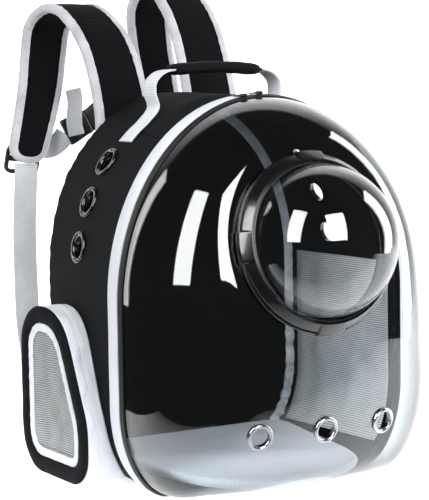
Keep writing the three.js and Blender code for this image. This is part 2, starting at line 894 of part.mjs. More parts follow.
function handlePath() {
  const seat = gussetInset - handleSeat - webbingThickness / 2;
  const angleAt = (x) => Math.acos(x / (outlineSizes(handleDepth).halfWidth - seat));
  const leg = archPoint(handleDepth, angleAt(handleLegSpan), seat);
  const tail = handleTailShares.map((share) => (
    archPoint(handleDepth, angleAt(mix(handleTailSpan, handleLegSpan * handleTailClear, share)), seat)
  ));
  const rise = handleLegs.map(([span, share]) => (
    vector(handleLegSpan * span, handleDepth, mix(leg.z, handleTop, share))
  ));
  const half = [...tail, ...rise, ...gripPath().slice(Math.ceil(gripSteps / 2)).reverse()];
  const mirrored = half.slice(0, -1).map((spot) => vector(-spot.x, spot.y, spot.z));
  return [...mirrored, ...half.reverse()];
}

function gripPath() {
  return Array.from({ length: gripSteps + 1 }, (_, k) => {
    const share = (2 * k) / gripSteps - 1;
    return vector(gripHalfLength * share, handleDepth, handleTop + gripArch * (1 - share ** 2));
  });
}

function handleWebbingGeometry() {
  return ribbon(smoothPath(handlePath(), handleSteps), handleWebbingWidth, webbingThickness, vector(0, 1, 0));
}

// Round-cornered loop in the plane across the grip.
function gripLoop(halfWide, halfHigh) {
  const rounded = (value) => Math.sign(value) * Math.abs(value) ** gripRoundness;
  return Array.from({ length: gripSegments }, (_, k) => {
    const angle = (2 * Math.PI * k) / gripSegments;
    return [halfWide * rounded(Math.cos(angle)), halfHigh * rounded(Math.sin(angle))];
  });
}

function gripGeometry() {
  const slotWide = handleWebbingWidth / 2 + seatGap;
  const slotHigh = webbingThickness / 2 + 2 * seatGap;
  const outer = gripLoop(gripWidth / 2, gripThickness / 2);
  const slot = outer.map(([wide, high]) => [
    Math.sign(wide) * Math.min(Math.abs(wide), slotWide),
    Math.sign(high) * Math.min(Math.abs(high), slotHigh),
  ]);
  slot[0] = [slotWide, 0];
  slot[gripSegments / 2] = [-slotWide, 0];
  const place = (loop) => gripPath().map((spot) => (
    loop.map(([wide, high]) => vector(spot.x, spot.y + wide, spot.z + high))
  ));
  return loftLoops([...place(outer), ...place(slot).reverse()], true);
}

// Shoulder strap, flattened: its centre line as shares of spread, reach and height.
// Columns: spread share, reach share, height share (of the rise above the root, or of the drop).
const strapRoute = [
  [0, 0, -0.6],
  [0, 0.006, 0],
  [0, 0.055, 0.24],
  [0.025, 0.19, 0.6],
  [0.075, 0.355, 0.82],
  [0.15, 0.595, 0.985],
  [0.225, 0.81, 0.97],
  [0.3, 0.96, 0.84],
  [0.4, 0.985, 0.59],
  [0.55, 0.97, 0.31],
  [0.75, 0.97, 0.02],
  [0.95, 1, -0.71],
  [1, 1.015, -1],
];
// Strap width along its length. Columns: length share, width share.
const strapWidths = [
  [0, 1],
  [0.35, 0.95],
  [0.55, 0.87],
  [0.75, 0.82],
  [0.93, 0.74],
  [1, 0.68],
];

const strapSeatDepth = bodyDepth + 2 * seatGap + strapThickness / 2 + strapBindingProud;

function strapCurve(side) {
  const rise = side < 0 ? strapRiseLeft : strapRiseRight;
  return smoothCurve(strapRoute.map(([spread, reach, height]) => vector(
    side * mix(strapRootSpan, strapEndSpan, spread),
    strapSeatDepth + reach * strapReach,
    strapRootHeight + height * (height > 0 ? rise : strapDrop),
  )));
}

// Maps a place on the flattened strap (along, aside, off its mid-surface) into the bag's frame.
function strapFrame(side) {
  const curve = strapCurve(side);
  const length = curve.getLength();
  return {
    side,
    length,
    place(along, aside, off) {
      const share = Math.min(Math.max(along / length, 0), 1);
      const spot = curve.getPointAt(share);
      const tangent = curve.getTangentAt(share);
      spot.addScaledVector(tangent, along - share * length);
      const across = vector(1, 0, 0).addScaledVector(tangent, -tangent.x).normalize();
      const outward = across.clone().cross(tangent);
      return spot.addScaledVector(across, aside).addScaledVector(outward, off);
    },
  };
}

function strapHalfWidth(along, length, inset) {
  const half = (strapWidth / 2) * readTable(strapWidths, along / length, 1) - inset;
  const past = along - (length - strapEndRound);
  if (past <= 0) return half;
  const reach = strapEndRound - inset;
  return half * Math.max(1 - (past / reach) ** 2, 0) ** strapEndPower;
}

// Lengths along the strap at which its edge is drawn, closer together round its end.
function strapStations(length, inset) {
  const straight = length - strapEndRound;
  const stations = Array.from({ length: strapSteps + 1 }, (_, k) => (straight * k) / strapSteps);
  for (let k = 1; k <= strapEndSteps; k += 1) {
    stations.push(straight + (strapEndRound - inset) * Math.sin(((k / strapEndSteps) * Math.PI) / 2));
  }
  return stations;
}

function strapPadGeometry(frame) {
  const inset = strapBindingWidth + seatGap;
  const half = strapThickness / 2;
  const stations = strapStations(frame.length, inset);
  const flat = padFlatShare;
  const section = [[-1, 0], [-flat, -1], [flat, -1], [1, 0], [flat, 1], [-flat, 1]];
  return loftLoops(stations.map((along, k) => {
    const wide = Math.max(strapHalfWidth(along, frame.length, inset), k === stations.length - 1 ? 1 : 0);
    return section.map(([aside, off]) => frame.place(along, aside * wide, off * half));
  }), false);
}

// The binding wraps the pad's edge from the root, round the end and back up.
function strapBindingGeometry(frame) {
  const edge = (inset) => {
    const stations = strapStations(frame.length, inset);
    const rim = stations.map((along) => [along, strapHalfWidth(along, frame.length, inset)]);
    rim[rim.length - 1][1] = 0;
    const back = rim.slice(0, -1).map(([along, aside]) => [along, -aside]).reverse();
    return [...rim, ...back];
  };
  const high = strapThickness / 2 + strapBindingProud;
  const outer = edge(0);
  const inner = edge(strapBindingWidth);
  return loftLoops(outer.map((rim, k) => [
    frame.place(...rim, -high),
    frame.place(...inner[k], -high),
    frame.place(...inner[k], high),
    frame.place(...rim, high),
  ]), false);
}

// The outer face of a strap is the one turned away from the bag's back.
const strapFaceOff = strapThickness / 2 + strapBindingProud + seatGap;

// Ladder lock: a bowed frame with two slots, on the pad end's outer face.
const ladderOff = strapFaceOff + webbingThickness + seatGap;
// The plate's two slots. Columns: share of its height where the slot starts and ends.
const ladderSlots = [
  [0.2, 0.38],
  [0.6, 0.8],
];

function ladderGeometry(frame) {
  const at = (share, aside, off) => {
    const bow = ladderBow * (1 - (2 * share - 1) ** 2);
    const along = frame.length + ladderStart + ladderHeight * share;
    return frame.place(along, aside, ladderOff + bow + off);
  };
  const block = (fromShare, toShare, half, low, high, count) => {
    const loops = [];
    for (let k = 0; k <= count; k += 1) {
      const share = mix(fromShare, toShare, k / count);
      const corners = [[-half, low], [half, low], [half, high], [-half, high]];
      loops.push(corners.map(([aside, off]) => at(share, aside, off)));
    }
    return loftLoops(loops, false);
  };
  const half = ladderWidth / 2;
  const through = 4 * ladderThickness;
  const plate = block(0, 1, half, 0, ladderThickness, ladderSteps);
  const slots = ladderSlots.map(([from, to]) => block(from, to, half - ladderRail, -through, through, 1));
  return cutAway(plate, slots);
}

// Lower webbing: hangs from the pad's end and comes back to the bag's lower corner.
// Columns: spread share to the corner, reach share, height share of the drop.
const lowerRoute = [
  [0.05, 0.995, 0.05],
  [0.6, 0.92, 0.28],
  [1.1, 0.81, 0.5],
  [1.6, 0.67, 0.7],
  [1.9, 0.47, 0.86],
  [1.75, 0.27, 0.94],
  [1.35, 0.11, 0.965],
  [1.1, 0.04, 0.98],
];

function lowerWebbingGeometry(frame) {
  const start = frame.place(frame.length + 2 * seatGap, 0, 0);
  const seat = bodyDepth + lowerSeat + webbingThickness / 2;
  const foot = vector(frame.side * lowerFootSpan, seat, lowerFootHeight + lowerFootLength);
  const spots = [start, ...lowerRoute.map(([spread, reach, drop]) => vector(
    mix(start.x, foot.x, spread),
    mix(foot.y, start.y, reach),
    mix(start.z, foot.z, drop),
  ))];
  spots.push(foot, vector(foot.x, foot.y, lowerFootHeight));
  const across = vector(frame.side, 0, 0);
  return ribbon(smoothPath(spots, lowerSteps), lowerWebbingWidth, webbingThickness, across);
}

// Chest strap between the two pads, slack and standing up in the middle.
// Columns: share of the chord, share of the forward bow, share of the rise.
const chestRoute = [
  [0, 0, 0],
  [0.16, 0.5, 0.42],
  [0.3, 0.9, 0.85],
  [0.46, 1, 1.05],
  [0.62, 1, 1.05],
  [0.8, 0.7, 0.7],
  [0.92, 0.25, 0.25],
  [1, 0, 0],
];

// Where an end is sewn to its pad, inwards from the pad's middle, as shares of the strap's width:
// its sewn end, a place on the pad and the pad's edge.
const chestSeams = [-0.06, 0.2, 0.45];

// The chest strap's curve, with the way up across it, which follows each pad where it is sewn on.
function chestPath(frames) {
  const off = strapFaceOff + webbingThickness / 2;
  const ends = frames.map((frame) => {
    const along = frame.length - chestSeat;
    const spots = chestSeams.map((share) => frame.place(along, -frame.side * share * strapWidth, off));
    const up = frame.place(along - 1, 0, 0).sub(frame.place(along, 0, 0)).normalize();
    return { sewn: spots.slice(0, 2), edge: spots[2], up };
  });
  const [left, right] = ends;
  const between = chestRoute.map(([share, bow, rise]) => (
    left.edge.clone().lerp(right.edge, share).add(vector(0, -chestBow * bow, chestRise * rise))
  ));
  const curve = smoothCurve([...left.sewn, ...between, ...right.sewn.reverse()]);
  const upright = vector(0, 0, 1);
  return {
    length: curve.getLength(),
    frameAt(share) {
      const near = share < 0.5 ? left : right;
      const turned = (Math.min(share, 1 - share) - chestTurnStart) / chestTurnSpan;
      const along = curve.getTangentAt(share);
      const hint = near.up.clone().lerp(upright, Math.min(Math.max(turned, 0), 1));
      const up = hint.addScaledVector(along, -hint.dot(along)).normalize();
      return { spot: curve.getPointAt(share), up, off: along.clone().cross(up) };
    },
  };
}

function chestLoops(chest, fromShare, toShare, steps) {
  return Array.from({ length: steps + 1 }, (_, k) => {
    const { spot, up, off } = chest.frameAt(mix(fromShare, toShare, k / steps));
    return flatSection(chestWebbingWidth / 2, webbingThickness).map(([aside, out]) => (
      spot.clone().addScaledVector(up, aside).addScaledVector(off, out)
    ));
  });
}

// The buckle is rigid and straight: a place in it is along its length, up across it and off its middle.
function bucklePlace(chest) {
  const middle = chestBuckleStart + buckleLength / 2 / chest.length;
  const { spot, up, off } = chest.frameAt(middle);
  const tangent = up.clone().cross(off);
  return {
    tangent,
    at: (along, aside, out) => (
      spot.clone().addScaledVector(tangent, along).addScaledVector(up, aside).addScaledVector(off, out)
    ),
  };
}

// A half of the buckle, from its wide end to its waist. Columns: length share, width share.
const buckleTaper = [
  [0, 1],
  [0.3, 1],
  [0.7, buckleWaist],
  [1, buckleWaist],
];

function buckleBlock(buckle, from, to, half, thickness) {
  return loftLoops(buckleTaper.map(([share, width]) => (
    flatSection(half * width, thickness).map(([aside, out]) => buckle.at(mix(from, to, share), aside, out))
  )), false);
}

// The webbing's loose tail lies on the buckle's face and stands up from it. It starts at a share
// of the buckle's length before its middle.
const chestTailStart = 0.3;
// Columns: share of its length along the buckle, out from its face and up.
const chestTailRoute = [
  [0, 0, -0.14],
  [0.07, 0, 0.1],
  [0.17, 0.01, 0.3],
  [0.26, 0.05, 0.46],
  [0.33, 0.07, 0.62],
  [0.38, 0.07, 0.8],
];

function chestTailGeometry(buckle) {
  const face = buckleThickness / 2 + seatGap + webbingThickness / 2;
  const spots = chestTailRoute.map(([along, out, up]) => buckle.at(
    along * chestTailLength - buckleLength * chestTailStart,
    up * chestTailLength,
    face + out * chestTailLength,
  ));
  return ribbon(smoothPath(spots, chestTailSteps), chestTailWidth, webbingThickness, buckle.tangent);
}

function material(name, color, roughness, metalness, opacity) {
  const isClear = opacity < 1;
  return new THREE.MeshStandardMaterial({ name, color, roughness, metalness, opacity, transparent: isClear });
}

const paints = {
  blackCloth: [0x16171b, 0.85, 0, 1],
  panelCloth: [0x08080a, 0.95, 0, 1],
  whiteCloth: [0xe4e6ec, 0.8, 0, 1],
  greyMesh: [0xa9aba9, 0.8, 0, 1],
  matCloth: [0xcdd3de, 0.75, 0, 1],
  clearPlastic: [0xe8edf2, 0.05, 0, 0.3],
  blackPlastic: [0x101114, 0.25, 0, 1],
  blackZip: [0x202126, 0.6, 0, 1],
  silver: [0xc9cbcf, 0.2, 1, 1],
  pad: [0x17181c, 0.85, 0, 1],
  strapWhite: [0xd6d7da, 0.8, 0, 1],
};

const bag = new THREE.Group();
bag.position.set(0, -originDepth, 0);

function addPiece(name, paint, geometry) {
  const mesh = new THREE.Mesh(geometry, material(paint, ...paints[paint]));
  mesh.name = name;
  bag.add(mesh);
  return mesh;
}

const sides = [['left', -1], ['right', 1]];

function buildBody() {
  addPiece('back_panel', 'panelCloth', backPanelGeometry());
  addPiece('top_gusset', 'blackCloth', topGussetGeometry());
  addPiece('bottom_panel', 'blackCloth', bottomGeometry());
  addPiece('inner_binding', 'strapWhite', innerBindingGeometry());
  addPiece('floor_mat', 'matCloth', matGeometry());
  const sizes = [eyeletRadius, eyeletHole, eyeletRim, gussetWall, eyeletStand, eyeletSegments];
  for (const [name, side] of sides) {
    addPiece(`side_gusset_${name}`, 'blackCloth', sideGussetGeometry(side));
    addPiece(`side_mesh_${name}`, 'greyMesh', sideMeshGeometry(side));
    eyeletSeats(side).forEach((seat, k) => {
      addPiece(`eyelet_${name}_${k + 1}`, 'blackPlastic', seated(clampedRing(...sizes), seat));
    });
  }
}

function buildFront() {
  addPiece('front_band', 'whiteCloth', outlineBand(0, bandWidth, 0, bandThickness));
  const tapeInner = zipperInset + zipperThickness;
  addPiece('zipper_tape', 'blackZip', outlineBand(zipperFront, -seatGap, zipperInset, tapeInner));
  const blank = shellBlank();
  const seats = grommetSeats(blank);
  const holes = seats.map((seat) => holeTool(grommetHole, seat, grommetSegments));
  addPiece('clear_shell', 'clearPlastic', cutAway(blank, holes));
  const sizes = [grommetRadius, grommetHole, grommetRim, shellWall, grommetStand, grommetSegments];
  seats.forEach((seat, k) => {
    addPiece(`grommet_${k + 1}`, 'silver', seated(clampedRing(...sizes), seat));
  });
  ['left', 'right'].forEach((name, k) => {
    addPiece(`zipper_pull_${name}`, 'blackPlastic', pullGeometry(pullOffset + k * pullSpacing));
  });
}

// A slider's pull lies back over the band, flat on the facet of the arch under it.
function pullGeometry(x) {
  const rear = pullLength - zipperWidth;
  const run = topRun(rear, 0, seamAngleAt(rear));
  const next = run.findIndex((spot) => spot.x < x);
  const [from, to] = [run[next], run[next - 1]];
  const spot = from.clone().lerp(to, (x - from.x) / (to.x - from.x));
  const along = to.clone().sub(from).normalize();
  const turn = new THREE.Quaternion().setFromUnitVectors(vector(1, 0, 0), along);
  const lift = vector(0, 0, pullThickness / 2 + seatGap).applyQuaternion(turn);
  const body = bareCopy(new THREE.BoxGeometry(pullWidth, pullLength, pullThickness)).applyQuaternion(turn);
  return body.translate(spot.x + lift.x, rear - pullLength / 2, spot.z + lift.z);
}

function buildBubble() {
  addPiece('bubble_collar', 'blackPlastic', collarGeometry());
  addPiece('lock_ring', 'blackPlastic', lockRingGeometry());
  addPiece('bubble_dome', 'clearPlastic', domeGeometry());
}

function buildPockets() {
  for (const [name, side] of sides) {
    addPiece(`pocket_gusset_${name}`, 'whiteCloth', pocketGussetGeometry(side));
    addPiece(`pocket_face_${name}`, 'blackCloth', pocketFaceGeometry(side));
    addPiece(`pocket_trim_${name}`, 'whiteCloth', pocketTrimGeometry(side));
    addPiece(`pocket_mesh_${name}`, 'greyMesh', pocketMeshGeometry(side));
  }
}

function buildHandle() {
  addPiece('handle_webbing', 'whiteCloth', handleWebbingGeometry());
  addPiece('handle_grip', 'blackPlastic', gripGeometry());
}

function buildStraps() {
  const frames = sides.map(([, side]) => strapFrame(side));
  sides.forEach(([name], k) => {
    addPiece(`strap_pad_${name}`, 'pad', strapPadGeometry(frames[k]));
    addPiece(`strap_binding_${name}`, 'strapWhite', strapBindingGeometry(frames[k]));
    addPiece(`ladder_lock_${name}`, 'blackPlastic', ladderGeometry(frames[k]));
    addPiece(`lower_webbing_${name}`, 'strapWhite', lowerWebbingGeometry(frames[k]));
  });
  const chest = chestPath(frames);
  const buckle = bucklePlace(chest);
  const [near, far] = [-buckleLength / 2, buckleLength / 2];
  const endLoop = (along) => (
    flatSection(chestWebbingWidth / 2, webbingThickness).map(([aside, out]) => buckle.at(along, aside, out))
  );
  const bend = chestEndBend / chest.length;
  const end = chestBuckleStart + buckleLength / chest.length;
  const left = [...chestLoops(chest, 0, chestBuckleStart - bend, chestLeftSteps), endLoop(near - seatGap)];
  const right = [endLoop(far + seatGap), ...chestLoops(chest, end + bend, 1, chestRightSteps)];
  addPiece('chest_webbing_left', 'strapWhite', loftLoops(left, false));
  addPiece('chest_webbing_right', 'strapWhite', loftLoops(right, false));
  addPiece('chest_tail', 'strapWhite', chestTailGeometry(buckle));
  const half = buckleWidth / 2;
  const join = buckleLength * (buckleHousing - 0.5);
  const male = buckleBlock(buckle, far, join + seatGap, half * buckleWaist, buckleMaleThickness);
  addPiece('buckle_female', 'blackPlastic', buckleBlock(buckle, near, join, half, buckleThickness));
  addPiece('buckle_male', 'blackPlastic', male);
}

buildBody();
buildFront();
buildBubble();
buildPockets();
buildHandle();
buildStraps();

export default bag;
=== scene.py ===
import logging
import math
from dataclasses import dataclass, field
from enum import Enum
from typing import Callable, Iterable, Sequence

import bmesh
import bpy
import numpy as np
from mathutils import Matrix, Vector


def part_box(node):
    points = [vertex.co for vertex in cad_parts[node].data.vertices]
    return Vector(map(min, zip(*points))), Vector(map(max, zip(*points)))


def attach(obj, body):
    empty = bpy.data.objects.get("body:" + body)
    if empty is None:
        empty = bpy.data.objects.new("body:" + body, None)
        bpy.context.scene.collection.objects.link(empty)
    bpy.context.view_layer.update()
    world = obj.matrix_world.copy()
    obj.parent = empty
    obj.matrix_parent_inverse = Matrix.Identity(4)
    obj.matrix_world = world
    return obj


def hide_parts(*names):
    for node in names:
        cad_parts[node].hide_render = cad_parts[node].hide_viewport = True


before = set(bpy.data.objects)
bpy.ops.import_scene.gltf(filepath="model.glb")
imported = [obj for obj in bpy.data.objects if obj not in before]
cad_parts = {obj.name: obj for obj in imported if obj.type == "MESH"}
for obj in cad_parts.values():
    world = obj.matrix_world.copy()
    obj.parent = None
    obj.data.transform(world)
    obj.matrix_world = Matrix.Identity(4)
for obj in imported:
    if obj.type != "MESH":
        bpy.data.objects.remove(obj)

logging.basicConfig(level=logging.INFO, format="%(message)s")
LOG = logging.getLogger("carrier")

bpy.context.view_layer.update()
MM = 0.001
# The bag is drawn about its zipper line, which lies this far behind the row's origin.
ORIGIN_DEPTH = 42.5
DEGREES = math.pi / 180


class Body(Enum):
    """The CAD bodies that a piece can ride on."""

    CARRIER = "carrier"
    BUBBLE = "bubble"


class Side(Enum):
    """Left or right as seen from the front, with its sign along X."""

    LEFT = -1
    RIGHT = 1

    @property
    def word(self) -> str:
        """The side's name as the CAD nodes spell it."""
        return self.name.lower()


def mix(a, b, share):
    """A value between a and b at a share, for numbers or arrays."""
    return a + (b - a) * share


def unit(vectors: np.ndarray) -> np.ndarray:
    """Vectors of length one along the last axis."""
    return vectors / np.maximum(np.linalg.norm(vectors, axis=-1, keepdims=True), 1e-9)


def ripple(u: np.ndarray, v: np.ndarray, wave: float, seed: int, count: int = 7) -> np.ndarray:
    """Smooth uneven relief between about -1 and 1: a mean of sines whose directions, lengths
    around one wave length and phases are drawn from a seed.

    Args:
        u, v: Places on the surface, in mm.
        wave: Typical wave length, in mm.
        seed: Which relief is drawn.
        count: How many sines are added.
    Returns:
        Heights of the same shape as u and v together.
    """
    rng = np.random.default_rng(seed)
    turn = rng.uniform(0, math.pi, count)
    length = wave * rng.uniform(0.6, 1.7, count)
    phase = rng.uniform(0, 2 * math.pi, count)
    u, v = np.broadcast_arrays(u, v)
    along = u[..., None] * np.cos(turn) + v[..., None] * np.sin(turn)
    return np.sin(2 * math.pi * along / length + phase).sum(-1) / math.sqrt(count)


def bump(x: np.ndarray, centre: float, width: float) -> np.ndarray:
    """A smooth hump of height one at a centre, gone by about two widths away."""
    return np.exp(-(((x - centre) / width) ** 2))


def power_circle(angle: np.ndarray, power: float) -> tuple[np.ndarray, np.ndarray]:
    """The two shares of a rounded square: cosine and sine of an angle, each raised to a power
    with its sign kept."""
    cosine, sine = np.cos(angle), np.sin(angle)
    return np.sign(cosine) * np.abs(cosine) ** power, np.sign(sine) * np.abs(sine) ** power


@dataclass
class Path:
    """A smooth line through knots, measured along its own length in mm.

    Centripetal Catmull-Rom: each stretch is a cubic whose end slopes weigh the neighbouring
    chords by the square root of their lengths.
    """

    knots: Sequence[Sequence[float]]
    fine: int = 40
    points: np.ndarray = field(init=False)
    reach: np.ndarray = field(init=False)

    def __post_init__(self) -> None:
        """Works out the fine points and how far along the line each one lies."""
        k = np.asarray(self.knots, float)
        p = np.vstack([2 * k[0] - k[1], k, 2 * k[-1] - k[-2]])
        p0, p1, p2, p3 = p[:-3], p[1:-2], p[2:-1], p[3:]

        def root(a: np.ndarray, b: np.ndarray) -> np.ndarray:
            """Square root of the distance between points."""
            return np.maximum(np.linalg.norm(b - a, axis=1, keepdims=True), 1e-6) ** 0.5

        t01, t12, t23 = root(p0, p1), root(p1, p2), root(p2, p3)
        m1 = ((p1 - p0) / t01 - (p2 - p0) / (t01 + t12) + (p2 - p1) / t12) * t12
        m2 = ((p2 - p1) / t12 - (p3 - p1) / (t12 + t23) + (p3 - p2) / t23) * t12
        u = np.linspace(0, 1, self.fine, endpoint=False)[None, :, None]
        spots = (
            (2 * u**3 - 3 * u**2 + 1) * p1[:, None]
            + (u**3 - 2 * u**2 + u) * m1[:, None]
            + (-2 * u**3 + 3 * u**2) * p2[:, None]
            + (u**3 - u**2) * m2[:, None]
        )
        self.points = np.vstack([spots.reshape(-1, 3), k[-1:]])
        steps = np.linalg.norm(np.diff(self.points, axis=0), axis=1)
        self.reach = np.concatenate([[0], np.cumsum(steps)])

    @property
    def length(self) -> float:
        """The line's whole length in mm."""
        return float(self.reach[-1])

    def at(self, along: np.ndarray) -> np.ndarray:
        """Points at lengths along the line; past an end they go straight on."""
        along = np.asarray(along, float)
        inside = np.clip(along, 0, self.length)
        spot = np.stack([np.interp(inside, self.reach, c) for c in self.points.T], -1)
        return spot + self.tangent(inside) * (along - inside)[..., None]

    def tangent(self, along: np.ndarray) -> np.ndarray:
        """Directions of the line at lengths along it."""
        step = 0.5
        low = np.clip(np.asarray(along, float) - step, 0, self.length - 2 * step)
        ahead = np.stack([np.interp(low + 2 * step, self.reach, c) for c in self.points.T], -1)
        here = np.stack([np.interp(low, self.reach, c) for c in self.points.T], -1)
        return unit(ahead - here)


@dataclass
class Grid:
    """A surface as rows and columns of points, in mm about the zipper line.

    Attributes:
        points: Array of rows, columns and three places.
        wrap_rows, wrap_cols: The surface closes on itself in that direction.
        cap_first, cap_last: The first or last row is closed by one face.
        pole: The last row is closed by triangles to its middle.
    """

    points: np.ndarray
    wrap_rows: bool = False
    wrap_cols: bool = False
    cap_first: bool = False
    cap_last: bool = False
    pole: bool = False

    @classmethod
    def capped(cls, points: np.ndarray) -> "Grid":
        """A tube of points with both of its ends closed."""
        return cls(points, wrap_cols=True, cap_first=True, cap_last=True)

    def faces(self) -> np.ndarray:
        """The quads as an array of four point numbers each: every cell of the grid once."""
        rows, cols = self.points.shape[:2]
        r = np.arange(rows if self.wrap_rows else rows - 1)
        c = np.arange(cols if self.wrap_cols else cols - 1)
        r, c = np.meshgrid(r, c, indexing="ij")
        r2, c2 = (r + 1) % rows, (c + 1) % cols
        return np.stack([r * cols + c, r2 * cols + c, r2 * cols + c2, r * cols + c2], -1).reshape(-1, 4)

    def measures(self) -> tuple[np.ndarray, np.ndarray]:
        """Mean distance in metres along the rows and along the columns, with the closing cell."""
        p = self.points
        by_row = np.linalg.norm(np.roll(p, -1, 0) - p, axis=-1).mean(1)
        by_col = np.linalg.norm(np.roll(p, -1, 1) - p, axis=-1).mean(0)
        return tuple(np.concatenate([[0], np.cumsum(d)]) * MM for d in (by_row, by_col))

    def corner_uv(self) -> np.ndarray:
        """The unrolled place of each quad's corners, in metres of cloth."""
        rows, cols = self.points.shape[:2]
        u, v = self.measures()
        r = np.arange(rows if self.wrap_rows else rows - 1)
        c = np.arange(cols if self.wrap_cols else cols - 1)
        r, c = np.meshgrid(r, c, indexing="ij")
        pairs = [(r, c), (r + 1, c), (r + 1, c + 1), (r, c + 1)]
        return np.stack([np.stack([v[b], u[a]], -1) for a, b in pairs], -2).reshape(-1, 4, 2)


def to_frame(points: np.ndarray) -> np.ndarray:
    """Points in mm about the zipper line as metres in the row's frame."""
    return (points - np.array([0, ORIGIN_DEPTH, 0])) * MM


def signed_volume(points: np.ndarray, faces: np.ndarray) -> float:
    """Six times the volume that quads enclose, positive where they face outwards."""
    a, b, c, d = (points[faces[:, k]] for k in range(4))
    return float((np.cross(b, c) * a).sum() + (np.cross(c, d) * a).sum())


@dataclass
class Hole:
    """A round hole cut through a thin surface: where, along which axis, and how wide, in mm."""

    centre: np.ndarray
    axis: np.ndarray
    radius: float
    reach: float = 14.0

    def polar(self, points: np.ndarray) -> tuple[np.ndarray, np.ndarray, np.ndarray]:
        """Distance from the hole's axis, height along it, and the direction out from it."""
        away = points - self.centre
        height = away @ self.axis
        out = away - height[..., None] * self.axis
        return np.linalg.norm(out, axis=-1), height, out


def cut_holes(points: np.ndarray, faces: np.ndarray, holes: Iterable[Hole]) -> np.ndarray:
    """Which faces stay once round holes are cut. The points left inside a hole's rim are moved
    out onto it, so that its edge is a true circle.

    Args:
        points: All points, changed in place.
        faces: Quads of point numbers.
        holes: The holes.
    Returns:
        True for each face that stays.
    """
    keep = np.ones(len(faces), bool)
    for hole in holes:
        middle = points[faces].mean(1)
        radius, height, _ = hole.polar(middle)
        keep &= ~((radius < hole.radius) & (np.abs(height) < hole.reach))
        radius, height, out = hole.polar(points)
        near = (radius < hole.radius) & (np.abs(height) < hole.reach)
        used = np.zeros(len(points), bool)
        used[faces[keep].ravel()] = True
        move = near & used
        points[move] += out[move] * (hole.radius / np.maximum(radius[move], 1e-6) - 1)[:, None]
    return keep


def in_polygon(x: np.ndarray, y: np.ndarray, corners: np.ndarray) -> np.ndarray:
    """Whether places lie inside a polygon, by counting the edges to their right."""
    inside = np.zeros(np.shape(x), bool)
    for (x0, y0), (x1, y1) in zip(corners, np.roll(corners, -1, 0)):
        spans = (y0 > y) != (y1 > y)
        cross = x0 + (y - y0) * (x1 - x0) / (y1 - y0 if y1 != y0 else 1e-9)
        inside ^= spans & (x < cross)
    return inside


def linear(hex_colour: str) -> tuple[float, float, float, float]:
    """An sRGB hex value as the linear colour that the shader reads."""
    srgb = [int(hex_colour[k : k + 2], 16) / 255 for k in (0, 2, 4)]
    return tuple(c / 12.92 if c <= 0.04045 else ((c + 0.055) / 1.055) ** 2.4 for c in srgb) + (1.0,)


def shader_node(
    tree: bpy.types.NodeTree,
    kind: str,
    settings: dict | None = None,
    links: dict | None = None,
    **sockets,
) -> bpy.types.Node:
    """Adds one shader node.

    Args:
        tree: The material's node tree.
        kind: The node's Blender type.
        settings: Attributes of the node itself.
        links: Input name or number to the output socket that feeds it.
        sockets: Input values, with spaces in their names written as underscores.
    Returns:
        The node.
    """
    node = tree.nodes.new(kind)
    for name, value in (settings or {}).items():
        setattr(node, name, value)
    for name, value in sockets.items():
        node.inputs[name.replace("_", " ")].default_value = value
    for name, source in (links or {}).items():
        tree.links.new(source, node.inputs[name])
    return node


def ramp(tree, source, stops: Sequence[tuple[float, float]]) -> bpy.types.NodeSocket:
    """Turns a value by straight stretches between (place, value) stops; returns the new value."""
    node = tree.nodes.new("ShaderNodeMapRange")
    (x0, y0), (x1, y1) = stops
    for name, value in (("From Min", x0), ("From Max", x1), ("To Min", y0), ("To Max", y1)):
        node.inputs[name].default_value = value
    tree.links.new(source, node.inputs["Value"])
    return node.outputs["Result"]


@dataclass(frozen=True)
class Finish:
    """What every finish shares: its name and its slot in the record."""

    name: str
    slot: str

    def material(self) -> bpy.types.Material:
        """The material of this finish, made once."""
        found = bpy.data.materials.get(self.name)
        if found:
            return found
        made = bpy.data.materials.new(self.name)
        made.use_nodes = True
        made.node_tree.nodes.clear()
        output = made.node_tree.nodes.new("ShaderNodeOutputMaterial")
        made.node_tree.links.new(self.surface(made.node_tree), output.inputs["Surface"])
        return made

    def surface(self, tree: bpy.types.NodeTree) -> bpy.types.NodeSocket:
        """The shader output of this finish."""
        raise NotImplementedError


def object_noise(tree, millimetres: float, detail: float = 3.0) -> bpy.types.NodeSocket:
    """Noise on the row's own coordinates whose patches are about a size in mm."""
    place = shader_node(tree, "ShaderNodeTexCoord")
    node = shader_node(
        tree,
        "ShaderNodeTexNoise",
        links={"Vector": place.outputs["Object"]},
        Scale=1 / (millimetres * MM),
        Detail=detail,
    )
    return node.outputs["Fac"]


def threads(tree, pitch_u: float, pitch_v: float) -> tuple:
    """Two sets of threads on the unrolled cloth, with pitches in mm, as heights from 0 to 1."""
    place = shader_node(tree, "ShaderNodeTexCoord")
    made = []
    for axis, pitch in (("X", pitch_u), ("Y", pitch_v)):
        wave = shader_node(
            tree,
            "ShaderNodeTexWave",
            {"wave_type": "BANDS", "bands_direction": axis, "wave_profile": "SIN"},
            {"Vector": place.outputs["UV"]},
            Scale=1 / (pitch * MM) * 0.314159,
            Distortion=0.0,
        )
        made.append(wave.outputs["Fac"])
    return tuple(made)


def tinted(tree, factor, dark: str, light: str) -> bpy.types.NodeSocket:
    """A colour between two hex values by a factor."""
    node = shader_node(tree, "ShaderNodeMix", {"data_type": "RGBA"}, {"Factor": factor})
    node.inputs[6].default_value = linear(dark)
    node.inputs[7].default_value = linear(light)
    return node.outputs[2]


def combined(tree, a, b, operation: str = "MULTIPLY") -> bpy.types.NodeSocket:
    """Two values joined by one arithmetic step; b may be a number."""
    node = shader_node(tree, "ShaderNodeMath", {"operation": operation}, {0: a})
    if isinstance(b, (int, float)):
        node.inputs[1].default_value = b
    else:
        tree.links.new(b, node.inputs[1])
    return node.outputs["Value"]


